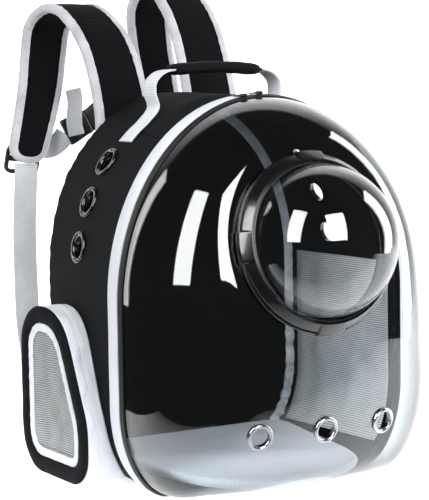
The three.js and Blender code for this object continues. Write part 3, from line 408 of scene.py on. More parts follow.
def raised(tree, height, depth_mm: float, strength: float) -> bpy.types.NodeSocket:
    """A normal from a height from 0 to 1 and its real depth in mm."""
    node = shader_node(tree, "ShaderNodeBump", links={"Height": height}, Strength=strength)
    node.inputs["Distance"].default_value = depth_mm * MM
    return node.outputs["Normal"]


@dataclass(frozen=True)
class WovenCloth(Finish):
    """Plain-woven polyester or nylon: two sets of threads, a soft sheen and uneven tone.

    The threads are drawn coarser than the real 0.4 mm where that is needed to show.
    """

    dark: str
    light: str
    pitch: float
    roughness: float
    sheen: float
    relief: float = 0.25
    patch: float = 60.0
    gloss: float = 0.3

    def surface(self, tree: bpy.types.NodeTree) -> bpy.types.NodeSocket:
        """Crossed threads set colour, roughness and relief; large soft patches shift the tone."""
        warp, weft = threads(tree, self.pitch, self.pitch * 0.9)
        weave = combined(tree, warp, weft)
        patches = object_noise(tree, self.patch)
        fine = ramp(tree, weave, ((0, 0.0), (1, 0.5)))
        tone = combined(tree, fine, ramp(tree, patches, ((0.3, 0), (0.7, 0.5))), "ADD")
        shader = shader_node(
            tree,
            "ShaderNodeBsdfPrincipled",
            links={
                "Base Color": tinted(tree, tone, self.dark, self.light),
                "Roughness": ramp(
                    tree, patches, ((0.2, self.roughness - 0.08), (0.8, self.roughness + 0.06))
                ),
                "Normal": raised(tree, weave, self.relief, 0.6),
            },
            Sheen_Weight=self.sheen,
            Sheen_Roughness=0.45,
            Specular_IOR_Level=self.gloss,
            IOR=1.46,
        )
        return shader.outputs["BSDF"]


@dataclass(frozen=True)
class RibbedMesh(Finish):
    """Knitted air mesh: rounded ribs across the cloth with a row of fine holes between them."""

    dark: str
    light: str
    rib: float
    hole: float
    roughness: float
    relief: float = 0.5
    clear: float = 0.0
    gloss: float = 0.3

    def surface(self, tree: bpy.types.NodeTree) -> bpy.types.NodeSocket:
        """Ribs along V and finer stitches along U, wandering a little as knitting does."""
        stitches, ribs = threads(tree, self.hole, self.rib)
        patches = object_noise(tree, 25.0)
        height = combined(tree, ribs, ramp(tree, stitches, ((0, 0.6), (1, 1.0))))
        fine = ramp(tree, height, ((0.1, 0.0), (0.8, 0.8)))
        tone = combined(tree, fine, ramp(tree, patches, ((0.3, 0), (0.7, 0.25))), "ADD")
        links = {
            "Base Color": tinted(tree, tone, self.dark, self.light),
            "Normal": raised(tree, height, self.relief, 0.7),
        }
        if self.clear:
            links["Alpha"] = ramp(tree, height, ((0.0, 1 - self.clear), (0.35, 1.0)))
        shader = shader_node(
            tree,
            "ShaderNodeBsdfPrincipled",
            links=links,
            Roughness=self.roughness,
            Specular_IOR_Level=self.gloss,
            IOR=1.46,
        )
        return shader.outputs["BSDF"]


@dataclass(frozen=True)
class Webbing(Finish):
    """Woven polypropylene webbing: close cross ribs along its length and a plain edge."""

    dark: str
    light: str
    rib: float
    roughness: float

    def surface(self, tree: bpy.types.NodeTree) -> bpy.types.NodeSocket:
        """Ribs across the webbing broken by fine lengthwise threads, with soft soiling."""
        across, length = threads(tree, self.rib * 1.6, self.rib)
        weave = combined(tree, length, ramp(tree, across, ((0, 0.55), (1, 1))))
        patches = object_noise(tree, 35.0)
        fine = ramp(tree, weave, ((0, 0.0), (0.9, 0.6)))
        tone = combined(tree, fine, ramp(tree, patches, ((0.3, 0), (0.7, 0.4))), "ADD")
        shader = shader_node(
            tree,
            "ShaderNodeBsdfPrincipled",
            links={
                "Base Color": tinted(tree, tone, self.dark, self.light),
                "Normal": raised(tree, weave, 0.3, 0.6),
            },
            Roughness=self.roughness,
            Sheen_Weight=0.12,
            IOR=1.49,
        )
        return shader.outputs["BSDF"]


@dataclass(frozen=True)
class MouldedPlastic(Finish):
    """Injection-moulded ABS or acetal: even colour, a close polish and faint flow unevenness."""

    colour: str
    roughness: float
    grain: float = 1.2
    coat: float = 0.0

    def surface(self, tree: bpy.types.NodeTree) -> bpy.types.NodeSocket:
        """Fine grain in the roughness and relief, and slightly paler worn patches."""
        grain = object_noise(tree, self.grain, 2.0)
        patches = object_noise(tree, 18.0)
        shader = shader_node(
            tree,
            "ShaderNodeBsdfPrincipled",
            links={
                "Roughness": ramp(
                    tree, patches, ((0.3, self.roughness - 0.04), (0.75, self.roughness + 0.07))
                ),
                "Normal": raised(tree, grain, 0.05, 0.25),
            },
            Base_Color=linear(self.colour),
            Coat_Weight=self.coat,
            Coat_Roughness=0.05,
            IOR=1.53,
        )
        return shader.outputs["BSDF"]


@dataclass(frozen=True)
class PlatedMetal(Finish):
    """Nickel-plated pressed steel: bright, with fine handling marks."""

    colour: str
    roughness: float

    def surface(self, tree: bpy.types.NodeTree) -> bpy.types.NodeSocket:
        """A metal whose gloss breaks up in small patches."""
        marks = object_noise(tree, 4.0, 5.0)
        shader = shader_node(
            tree,
            "ShaderNodeBsdfPrincipled",
            links={"Roughness": ramp(tree, marks, ((0.3, self.roughness), (0.8, self.roughness + 0.14)))},
            Base_Color=linear(self.colour),
            Metallic=1.0,
        )
        return shader.outputs["BSDF"]


@dataclass(frozen=True)
class ClearSheet(Finish):
    """Clear thermoformed sheet: it lets light straight through and mirrors what is around it,
    faintly face on and strongly at its turned edges, as its index of refraction gives."""

    tint: str
    # edge: painted shade, the see-through colour at the sheet's turned edges.
    edge: str
    index: float
    roughness: float
    wave: float

    def surface(self, tree: bpy.types.NodeTree) -> bpy.types.NodeSocket:
        """See-through and polished layers mixed by the share that a polished face mirrors: a
        few hundredths face on, all at a glancing look, rising by the fifth power between. The
        see-through layer is painted grey where the sheet is looked at at a slant: painted shade at
        its turned edges, standing in for the dark surroundings seen through them."""
        waves = object_noise(tree, self.wave, 1.0)
        normal = raised(tree, waves, 1.2, 0.12)
        # Painted shade: the see-through colour turns from the tint to the darker edge colour as the sheet
        # turns away from the view, standing in for the dark surroundings seen through its turned edges. Here
        # depth is the weight of this painted shade, not a thickness of plastic.
        slant = shader_node(tree, "ShaderNodeLayerWeight", Blend=0.5)
        depth = combined(tree, slant.outputs["Facing"], 3.0, "POWER")
        colour = tinted(tree, depth, self.tint, self.edge)
        through = shader_node(tree, "ShaderNodeBsdfTransparent", links={"Color": colour})
        gloss = shader_node(
            tree,
            "ShaderNodeBsdfPrincipled",
            links={"Normal": normal},
            Base_Color=linear("FFFFFF"),
            Metallic=1.0,
            Roughness=self.roughness,
        )
        facing = shader_node(tree, "ShaderNodeLayerWeight", links={"Normal": normal}, Blend=0.5)
        steep = combined(tree, facing.outputs["Facing"], 5.0, "POWER")
        least = ((self.index - 1) / (self.index + 1)) ** 2
        share = ramp(tree, steep, ((0, least), (1, 1)))
        mixed = shader_node(
            tree,
            "ShaderNodeMixShader",
            links={0: share, 1: through.outputs["BSDF"], 2: gloss.outputs["BSDF"]},
        )
        return mixed.outputs["Shader"]


@dataclass(frozen=True)
class Backdrop(Finish):
    """Matt white paper, lit where the camera sees it and falling into shade either side."""

    away: tuple[float, float]
    aside: tuple[float, float]
    front: tuple[float, float]

    def surface(self, tree: bpy.types.NodeTree) -> bpy.types.NodeSocket:
        """A plain white with the faintest tooth and painted shade: it darkens between two distances
        in metres to either side of the camera's line of sight, and between two in front of the bag."""
        tooth = object_noise(tree, 3.0)
        place = shader_node(tree, "ShaderNodeTexCoord")
        reach = []
        for way in ((self.away[1], -self.away[0], 0.0), (-self.away[0], -self.away[1], 0.0)):
            along = shader_node(
                tree, "ShaderNodeVectorMath", {"operation": "DOT_PRODUCT"}, {0: place.outputs["Object"]}
            )
            along.inputs[1].default_value = way
            reach.append(along.outputs["Value"])
        apart = combined(tree, reach[0], 0.0, "ABSOLUTE")
        beside = ramp(tree, apart, ((self.aside[0], 0.0), (self.aside[1], 1.0)))
        before = ramp(tree, reach[1], ((self.front[0], 0.0), (self.front[1], 1.0)))
        # Painted shade: fade darkens the paper's colour and its glow beside the camera's line of sight and in
        # front of the bag.
        fade = combined(tree, beside, before, "MAXIMUM")
        shader = shader_node(
            tree,
            "ShaderNodeBsdfPrincipled",
            links={
                "Normal": raised(tree, tooth, 0.1, 0.1),
                "Base Color": tinted(tree, fade, "F7F8FA", "77797C"),
                "Emission Color": tinted(tree, fade, "FFFFFF", "4C4E50"),
            },
            Roughness=0.9,
            Emission_Strength=0.75,
        )
        return shader.outputs["BSDF"]


SWEEP = Backdrop("white_paper_sweep", "stage", (0.4988, 0.8667), (0.8, 3.2), (0.11, 0.33))
BLACK_OXFORD = WovenCloth(
    "black_polyester_oxford", "black_cloth", "08090B", "131519", 1.6, 0.78, 0.0, gloss=0.1
)
BLACK_LINING = WovenCloth("black_lining_cloth", "panel_cloth", "010101", "050506", 1.6, 0.92, 0.0, gloss=0.05)
WHITE_BAND = WovenCloth("white_grosgrain_band", "white_cloth", "BFC2C9", "DFE1E6", 1.8, 0.75, 0.1, 0.3)
WHITE_GUSSET = WovenCloth("white_nylon_gusset", "white_cloth", "B9BDC5", "DADCE2", 1.6, 0.7, 0.1)
MAT_CLOTH = WovenCloth("pale_mat_cloth", "mat_cloth", "C8CEDA", "E8ECF4", 2.2, 0.65, 0.15, 0.35, 90.0)
GREY_MESH = RibbedMesh("grey_air_mesh", "mesh_cloth", "5C5F61", "A9ACAC", 2.5, 1.8, 0.8, 0.4)
LINING_MESH = RibbedMesh("pale_lining_mesh", "mesh_cloth", "9DA1A3", "E6E9EA", 2.5, 2.0, 0.8, 0.4, 0.25)
PAD_CLOTH = RibbedMesh(
    "black_padded_mesh", "strap_pad_cloth", "030304", "0D0E11", 3.0, 2.4, 0.85, 0.7, gloss=0.1
)
STRAP_BINDING = WovenCloth("pale_strap_binding", "strap_cloth", "9B9DA1", "CFD0D4", 1.6, 0.7, 0.1, 0.3, 22.0)
CLEAR_BINDING = WovenCloth(
    "translucent_seam_binding", "strap_cloth", "9A9EA2", "DDE0E2", 1.6, 0.5, 0.1, 0.4, 14.0
)
STRAP_WEBBING = Webbing("pale_polypropylene_webbing", "strap_cloth", "9B9DA2", "CACCD1", 2.4, 0.75)
HANDLE_WEBBING = Webbing("white_polypropylene_webbing", "white_cloth", "B6B9C0", "DEE0E4", 2.4, 0.72)
GLOSS_BLACK = MouldedPlastic("polished_black_abs", "black_plastic", "08090A", 0.2, 1.2, 0.5)
SATIN_BLACK = MouldedPlastic("satin_black_acetal", "black_plastic", "0B0C0E", 0.36)
ZIP_COIL = MouldedPlastic("black_nylon_coil", "zipper", "0C0D10", 0.45, 0.8)
GROMMET_NICKEL = PlatedMetal("nickel_plated_grommet", "silver_metal", "B4B7BB", 0.16)
# The second colours of the clear finishes, 2A2D31 and 4A4D51, are painted shade at the turned edges of the
# shell and the dome.
CLEAR_SHEET = ClearSheet("clear_polycarbonate_shell", "clear_plastic", "F6F8F9", "2A2D31", 1.58, 0.03, 120.0)
CLEAR_BLOWN = ClearSheet("clear_polycarbonate_dome", "clear_plastic", "F8F9FA", "4A4D51", 1.58, 0.015, 400.0)


@dataclass
class Piece:
    """One finished piece, from its grids to its place in the frame.

    Attributes:
        name: The piece's name.
        finish: Its material.
        nodes: The CAD nodes that it stands for.
        body: The CAD body that it rides on.
        wall: A thickness in mm given to an open surface, inwards from its points.
        holes: Round holes cut through it.
        window: A test on face middles that is true where the surface is cut away.
        inside: A point on the surface's inner side, for an open surface.
    """

    name: str
    finish: Finish
    nodes: tuple[str, ...] = ()
    body: Body = Body.CARRIER
    wall: float = 0.0
    holes: tuple[Hole, ...] = ()
    window: Callable[[np.ndarray], np.ndarray] | None = None
    inside: tuple[float, float, float] = (0.0, 80.0, 200.0)

    def make(self, *grids: Grid) -> bpy.types.Object:
        """Joins grids into one mesh, gives it its wall and finish, and sets it in the frame.

        Args:
            grids: The surfaces, in mm about the zipper line.
        Returns:
            The Blender object.
        """
        points, faces, uvs, extra = [], [], [], []
        start = 0
        for grid in grids:
            flat = grid.points.reshape(-1, 3).astype(float)
            quads, uv = grid.faces(), grid.corner_uv()
            closed = not self.wall
            flip = signed_volume(flat, quads) < 0 if closed else self.faces_in(flat, quads)
            if flip:
                quads, uv = quads[:, ::-1], uv[:, ::-1]
            keep = cut_holes(flat, quads, self.holes)
            if self.window is not None:
                keep &= ~self.window(flat[quads].mean(1))
            cols = grid.points.shape[1]
            last = np.arange(len(flat) - cols, len(flat))
            ends = ((grid.cap_first, np.arange(cols), False), (grid.cap_last, last, True))
            for wanted, ring, turned in ends:
                if wanted:
                    order = ring if turned != flip else ring[::-1]
                    extra.append((order[::-1] + start).tolist())
            if grid.pole:
                centre = flat[last].mean(0)
                pair = np.stack([last, np.roll(last, -1)], 1)
                fan = np.column_stack([pair if not flip else pair[:, ::-1], np.full(cols, len(flat))])
                extra.extend((fan[:, ::-1] + start).tolist())
                flat = np.vstack([flat, centre])
            points.append(flat)
            faces.append(quads[keep] + start)
            uvs.append(uv[keep])
            start += len(flat)
        return self.dress(np.vstack(points), np.vstack(faces), np.vstack(uvs), extra)

    def faces_in(self, points: np.ndarray, quads: np.ndarray) -> bool:
        """True where an open surface's faces look towards its inner side."""
        a, b, _, d = (points[quads[:, k]] for k in range(4))
        out = points[quads].mean(1) - np.array(self.inside)
        return float((np.cross(b - a, d - a) * out).sum()) < 0

    def dress(self, points, faces, uvs, extra) -> bpy.types.Object:
        """Puts the mesh into Blender with its UV map, wall, finish and body."""
        mesh = bpy.data.meshes.new(self.name)
        mesh.from_pydata(to_frame(points).tolist(), [], faces.tolist() + extra)
        layer = mesh.uv_layers.new(name="UVMap")
        flat = np.zeros((len(mesh.loops), 2), np.float32)
        flat[: len(faces) * 4] = uvs.reshape(-1, 2)
        layer.data.foreach_set("uv", flat.ravel())
        mesh.polygons.foreach_set("use_smooth", np.ones(len(mesh.polygons), bool))
        drop_loose(mesh, not self.wall)
        mesh.materials.append(self.finish.material())
        obj = bpy.data.objects.new(self.name, mesh)
        bpy.context.scene.collection.objects.link(obj)
        if self.wall:
            solid = obj.modifiers.new("wall", "SOLIDIFY")
            solid.thickness = self.wall * MM
            solid.offset = -1.0
            solid.use_even_offset = True
            solid.use_rim = True
        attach(obj, self.body.value)
        if self.nodes:
            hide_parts(*self.nodes)
        LOG.info("%s: %d points, %d faces", self.name, len(mesh.vertices), len(mesh.polygons))
        return obj


def drop_loose(mesh: bpy.types.Mesh, closed: bool) -> None:
    """Removes points that no face uses, turns a closed piece's faces outwards, and sharpens the
    edges between steep faces."""
    work = bmesh.new()
    work.from_mesh(mesh)
    bmesh.ops.delete(work, geom=[v for v in work.verts if not v.link_faces], context="VERTS")
    if closed:
        bmesh.ops.recalc_face_normals(work, faces=work.faces)
    for edge in work.edges:
        if len(edge.link_faces) == 2 and edge.calc_face_angle() > 55 * DEGREES:
            edge.smooth = False
    work.to_mesh(mesh)
    work.free()


@dataclass
class Seat:
    """A place on a surface with the directions out of it and across it, in mm."""

    point: np.ndarray
    normal: np.ndarray
    up: np.ndarray = field(default_factory=lambda: np.array([0.0, 0.0, 1.0]))

    def __post_init__(self) -> None:
        """Makes the three directions square to each other."""
        self.point = np.asarray(self.point, float)
        self.normal = unit(np.asarray(self.normal, float))
        self.up = unit(self.up - (self.up @ self.normal) * self.normal)
        self.right = np.cross(self.up, self.normal)

    def place(self, right, up, out) -> np.ndarray:
        """Points at distances right, up and out from the seat, for arrays that broadcast."""
        right, up, out = np.broadcast_arrays(right, up, out)
        aside = right[..., None] * self.right + up[..., None] * self.up
        return self.point + aside + out[..., None] * self.normal

    def turned(
        self,
        profile: Sequence[Sequence[float]],
        turns: int = 96,
        closed: bool = True,
        swell: Callable | None = None,
    ) -> Grid:
        """A profile of (radius, height) turned about the seat's normal.

        Args:
            profile: Radius and height of each row.
            turns: How many steps round the circle.
            closed: The profile closes on itself.
            swell: Optional function of angle and row that is added to the radius.
        Returns:
            The grid: circle radius times cosine and sine of the angle, at each height.
        """
        radius, height = np.asarray(profile, float).T
        angle = np.linspace(0, 2 * math.pi, turns, endpoint=False)
        r = np.broadcast_to(radius[:, None], (len(radius), turns)).copy()
        if swell is not None:
            r += swell(angle[None, :], np.arange(len(radius))[:, None])
        points = self.place(r * np.cos(angle), r * np.sin(angle), height[:, None])
        return Grid(points, wrap_rows=closed, wrap_cols=True)


def rounded(corners: Sequence[Sequence[float]], radius: float, steps: int = 4) -> np.ndarray:
    """A closed outline with its corners rounded by quadratic curves.

    Args:
        corners: The sharp corners in order, as (x, y) or (radius, height).
        radius: How far from each corner its curve starts.
        steps: Points on each curve, less one.
    Returns:
        The outline's points.
    """
    c = np.asarray(corners, float)
    before, after = np.roll(c, 1, 0) - c, np.roll(c, -1, 0) - c
    shorter = np.minimum(np.linalg.norm(before, axis=1), np.linalg.norm(after, axis=1))
    reach = np.minimum(radius, 0.45 * shorter)
    start, end = c + unit(before) * reach[:, None], c + unit(after) * reach[:, None]
    t = np.linspace(0, 1, steps + 1)[None, :, None]
    curve = (1 - t) ** 2 * start[:, None] + 2 * t * (1 - t) * c[:, None] + t**2 * end[:, None]
    return curve.reshape(-1, 2)


@dataclass
class BagForm:
    """The bag's outline at any depth, as the CAD source draws it, in mm.

    A share runs once round the outline: 0 at the middle of the floor, up the right side, 0.5 at
    the top of the arch and down the left side back to 1.
    """

    front_half_width: float = 173.0
    back_half_width: float = 159.5
    front_rise: float = 214.0
    back_rise: float = 194.5
    front_centre: float = 195.5
    back_centre: float = 221.5
    corner_width: float = 54.0
    corner_height: float = 94.5
    depth: float = 195.0
    floor_end: float = 0.093
    corner_end: float = 0.185
    side_end: float = 0.263
    seam_front: float = 52.0
    seam_back: float = 56.0

    def sizes(self, depth: np.ndarray) -> tuple[np.ndarray, np.ndarray, np.ndarray]:
        """Half-width, arch rise and arch centre at a depth behind the zipper line."""
        share = depth / self.depth
        return (
            mix(self.front_half_width, self.back_half_width, share),
            mix(self.front_rise, self.back_rise, share),
            mix(self.front_centre, self.back_centre, share),
        )

    def arch_share(self, angle: np.ndarray) -> np.ndarray:
        """The share at an angle in degrees up the right side of the arch."""
        return mix(self.side_end, 0.5, angle / 90)

    def seam_share(self, depth: np.ndarray) -> np.ndarray:
        """The share at which the top gusset's cross seam lies."""
        return self.arch_share(mix(self.seam_front, self.seam_back, depth / self.depth))

    def point(self, share, depth, inset) -> np.ndarray:
        """Points of the outline, drawn in along their normals.

        The floor is flat, the corner a quarter ellipse, the side straight and the top half an
        ellipse; the left half mirrors the right one.

        Args:
            share: Share round the outline.
            depth: Depth behind the zipper line.
            inset: How far the point is drawn in.
        Returns:
            Points with x to the right, y backwards and z up.
        """
        share, depth, inset = np.broadcast_arrays(
            np.asarray(share, float), np.asarray(depth, float), np.asarray(inset, float)
        )
        share = np.mod(share, 1.0)
        half, rise, centre = self.sizes(depth)
        sign = np.where(share <= 0.5, 1.0, -1.0)
        t = np.where(share <= 0.5, share, 1 - share)
        corner = (np.clip((t - self.floor_end) / (self.corner_end - self.floor_end), 0, 1) - 1) * 90 * DEGREES
        side = np.clip((t - self.corner_end) / (self.side_end - self.corner_end), 0, 1)
        arch = np.clip((t - self.side_end) / (0.5 - self.side_end), 0, 1) * 90 * DEGREES
        middle = half - self.corner_width
        tall = self.corner_height
        cx, cz = self.ellipse(middle, tall, self.corner_width, tall, corner, inset)
        ax, az = self.ellipse(0.0, centre, half, rise, arch, inset)
        x = np.where(t < self.floor_end, middle * t / self.floor_end, np.where(t < self.corner_end, cx, ax))
        straight = (t >= self.corner_end) & (t < self.side_end)
        x = np.where(straight, half - inset, x)
        z = np.where(t < self.floor_end, inset, np.where(t < self.corner_end, cz, az))
        z = np.where(straight, mix(self.corner_height, centre, side), z)
        return np.stack([sign * x, depth, z], -1)

    @staticmethod
    def ellipse(cx, cz, rx, rz, angle, inset) -> tuple[np.ndarray, np.ndarray]:
        """Points of an ellipse arc moved inwards along its normal."""
        nx, nz = np.cos(angle) / rx, np.sin(angle) / rz
        size = np.hypot(nx, nz)
        return cx + rx * np.cos(angle) - inset * nx / size, cz + rz * np.sin(angle) - inset * nz / size

    def wall(self, height: np.ndarray, depth: np.ndarray, inset: float = 0.0) -> np.ndarray:
        """Half-width of the bag's wall at a height and depth."""
        half, rise, centre = self.sizes(np.asarray(depth, float))
        up = np.clip((height - centre) / (rise - inset), 0, 1)
        down = np.clip((self.corner_height - height) / (self.corner_height - inset), 0, 1)
        low = half - self.corner_width + (self.corner_width - inset) * np.sqrt(1 - down**2)
        return np.where(height > self.corner_height, (half - inset) * np.sqrt(1 - up**2), low)

    def band(self, shares: np.ndarray, profile: Sequence[Sequence[float]], swell=None) -> Grid:
        """A closed profile of (depth, inset) carried round the outline at given shares."""
        depth, inset = np.asarray(profile, float).T
        inset = np.broadcast_to(inset[None, :], (len(shares), len(inset)))
        if swell is not None:
            inset = inset - swell(shares[:, None] * 1290, depth[None, :])
        return Grid(self.point(shares[:, None], depth[None, :], inset), wrap_rows=True, wrap_cols=True)


FORM = BagForm()
GIRTH = 1290.0


@dataclass
class Carcass:
    """The cloth body: gussets, floor, back panel and their seam binding, with the eyelets."""

    wall: float = 3.0
    inset: float = 1.8
    eyelet_radius: float = 17.3
    eyelet_hole: float = 11.0
    eyelet_depth: float = 111.0
    eyelet_first: float = 11.5
    eyelet_step: float = 14.3

    def build(self) -> None:
        """Builds every piece of the cloth body."""
        self.gussets()
        self.back_panel()
        self.inner_binding()

    def relief(self, share: np.ndarray, depth: np.ndarray) -> np.ndarray:
        """How far the cloth stands out in mm: slow hand-sewn unevenness, and short puckers that
        run in from the front binding and the back seam and fade within 30 mm."""
        along = share * GIRTH
        slow = 0.55 * ripple(along, depth, 95.0, 11)
        pull = np.exp(-np.clip(depth - 20, 0, None) / 16) + np.exp(-np.clip(195 - depth, 0, None) / 14)
        return slow + 0.4 * pull * ripple(along, depth * 0.15, 16.0, 12)

    def strip(self, low, high, steps: int) -> Grid:
        """One gusset's outer surface between two shares, each a function of depth, with its long
        edges turned in a little at the seams."""
        depth = np.linspace(0.3, FORM.depth, 74)[None, :]
        t = np.linspace(0, 1, steps)[:, None]
        share = mix(low(depth), high(depth), t)
        width = (high(depth) - low(depth)) * GIRTH
        edge = np.minimum(t, 1 - t) * width
        back = 1.1 * np.exp(-np.clip(FORM.depth - depth, 0, None) / 1.6)
        stand = self.relief(share, depth) * np.clip(edge / 12, 0, 1)
        inset = self.inset + 0.9 * np.exp(-edge / 1.5) + back - stand
        return Grid(FORM.point(share, depth, np.maximum(inset, 1.2)))

    def eyelet_seats(self, side: Side) -> list[Seat]:
        """Where the three eyelets sit in a side gusset."""
        made = []
        for k in range(3):
            share = FORM.arch_share(np.array(self.eyelet_first + k * self.eyelet_step))
            share = share if side is Side.RIGHT else 1 - share
            here = FORM.point(share, self.eyelet_depth, self.inset)
            along = FORM.point(share + 0.004, self.eyelet_depth, self.inset) - here
            deeper = FORM.point(share, self.eyelet_depth + 8, self.inset) - here
            normal = np.cross(deeper, along)
            normal *= np.sign(normal[0] * side.value)
            made.append(Seat(here, normal))
        return made

    def gussets(self) -> None:
        """The two side gussets with their holes, the top gusset and the floor panel."""
        gap = 0.15 / GIRTH
        for side in Side:
            def low(depth: np.ndarray) -> np.ndarray:
                """Foot of the side gusset."""
                return np.full_like(depth, FORM.floor_end + gap)

            def high(depth: np.ndarray) -> np.ndarray:
                """Cross seam at the top of the side gusset."""
                return FORM.seam_share(depth) - gap

            grid = self.strip(low, high, 190)
            if side is Side.LEFT:
                grid.points[..., 0] *= -1
            seats = self.eyelet_seats(side)
            holes = tuple(Hole(s.point, s.normal, self.eyelet_hole + 1.4) for s in seats)
            corners = POCKET.outline(POCKET.border + POCKET.trim)

            def window(middle: np.ndarray) -> np.ndarray:
                """True behind the pocket's mesh."""
                return in_polygon(middle[:, 1], middle[:, 2], corners)

            name = f"side_gusset_{side.word}"
            piece = Piece(f"{name}_cloth", BLACK_OXFORD, (name,), wall=self.wall, holes=holes, window=window)
            piece.make(grid)
            for k, seat in enumerate(seats):
                self.eyelet(seat, f"eyelet_{side.word}_{k + 1}")
        top = self.strip(lambda d: FORM.seam_share(d) + gap, lambda d: 1 - FORM.seam_share(d) - gap, 130)
        Piece("top_gusset_cloth", BLACK_OXFORD, ("top_gusset",), wall=self.wall).make(top)
        self.floor()

    def floor(self) -> None:
        """The floor panel: a thin-walled tray profile, stepped down behind the front band."""
        half = [w - FORM.corner_width - 0.2 for w in (FORM.front_half_width, FORM.back_half_width)]
        corners = [(0.3, 1.8), (24.3, 1.8), (24.3, 0.0), (194.8, 0.0), (194.8, 4.8), (0.3, 4.8)]
        profile = rounded(corners, 1.2, 3)
        x = np.linspace(-1, 1, 60)[:, None]
        depth, height = profile.T
        wide = mix(half[0], half[1], depth / FORM.depth)
        inner = height > 2.4
        lift = inner * 0.25 * ripple(x * 120, depth[None, :], 60.0, 21)
        points = np.stack(np.broadcast_arrays(x * wide, depth[None, :], height[None, :] + lift), -1)
        Piece("floor_panel_cloth", BLACK_OXFORD, ("bottom_panel",)).make(
            Grid.capped(points)
        )

    def eyelet(self, seat: Seat, node: str) -> None:
        """A pressed plastic eyelet: a rolled outer rim, a dished face and a neck to its washer."""
        r, h = self.eyelet_radius, self.eyelet_hole
        profile = [
            (h, -4.6), (r - 0.8, -4.8), (r - 0.8, -3.7), (h + 1.2, -3.6), (h + 1.2, 0.4), (r - 0.4, 0.45),
            (r, 1.0), (r - 0.3, 1.9), (r - 1.3, 2.7), (r - 2.6, 3.0), (r - 3.9, 2.7), (h + 1.2, 1.9),
            (h + 0.3, 0.9), (h, -0.6),
        ]
        Piece(f"{node}_ring", GLOSS_BLACK, (node,)).make(seat.turned(profile, 72))

    def back_panel(self) -> None:
        """The padded back: a closed cushion, flat towards the cabin and crowned towards the
        wearer, pulled down along its rim and along two upright sewn channels.

        Rings run from the rim to the middle as shares of the outline's own points; the height
        off the flat is a crown that falls to the rim, less a narrow groove at each channel.
        """
        inset, front, rear = 5.3, 184.3, 195.3
        share = np.linspace(0, 1, 240, endpoint=False)[None, :]
        middle = np.array([0.0, 0.0, 205.0])
        t = np.concatenate([[0.0, 0.004, 0.012, 0.025], np.linspace(0.045, 0.985, 46)])[:, None]

        def face(depth: float, rim: float) -> np.ndarray:
            """Rings from the rim inwards at one depth."""
            edge = FORM.point(share, depth, rim)
            here = mix(edge, middle + np.array([0, depth, 0]), t[..., None])
            return here

        back = face(rear, inset + 0.5)
        x, z = back[..., 0], back[..., 2]
        edge = t * 150
        crown = 5.2 * (1 - np.exp(-edge / 9.0)) - 5.2
        groove = 1.6 * (bump(np.abs(x), 52.0, 2.6)) * np.clip(edge / 25 - 0.4, 0, 1)
        cross = 1.4 * (bump(z, 118.0, 2.6) + bump(z, 262.0, 2.6)) * np.clip(edge / 25 - 0.4, 0, 1)
        soft = 0.7 * ripple(x, z, 70.0, 31) * np.clip(edge / 20, 0, 1)
        pucker = 0.35 * ripple(z, x * 0.3, 13.0, 32) * bump(np.abs(x), 52.0, 9.0)
        back[..., 1] += crown - groove - cross + np.minimum(soft + pucker, 0.6) - 0.6
        cabin = face(front, inset + 0.5)
        cabin[..., 1] += 0.5 * ripple(cabin[..., 0], cabin[..., 2], 60.0, 33) * np.clip(edge / 20, 0, 1)
        side = FORM.point(np.repeat(share, 3, 0), np.array([186.0, 188.0, 189.4])[:, None], inset)
        rings = np.concatenate([cabin[::-1], side, back])
        obj = Piece("back_panel_padding", BLACK_LINING, ("back_panel",)).make(
            Grid(rings, wrap_cols=True, cap_first=True, cap_last=True)
        )

    def inner_binding(self) -> None:
        """The clear-grey tape over the inside seam: a soft roll round the back edge that bunches
        in short folds, most of all where it turns towards the floor."""
        share = np.linspace(0, 1, 1500, endpoint=False)
        profile = rounded([(182.5, 5.2), (184.0, 5.2), (184.0, 16.6), (182.4, 16.6)], 0.7, 3)

        grid = FORM.band(share, profile, None)
        along = share * GIRTH
        turn = np.minimum(along, GIRTH - along)
        gather = (0.3 + 1.1 * bump(turn, 190.0, 110.0))[:, None]
        across = np.linspace(0, 1, len(profile))[None, :]
        fold = 1 + ripple(along[:, None], across * 20, 10.0, 42)
        drift = 3 * ripple(along[:, None], across * 3, 40.0, 43)
        crease = 0.6 * np.abs(np.sin(along[:, None] * 0.42 + drift))
        grid.points[..., 1] -= gather * (fold * 0.9 + crease * bump(turn, 190.0, 120.0)[:, None])
        Piece("seam_binding_tape", CLEAR_BINDING, ("inner_binding",)).make(grid)


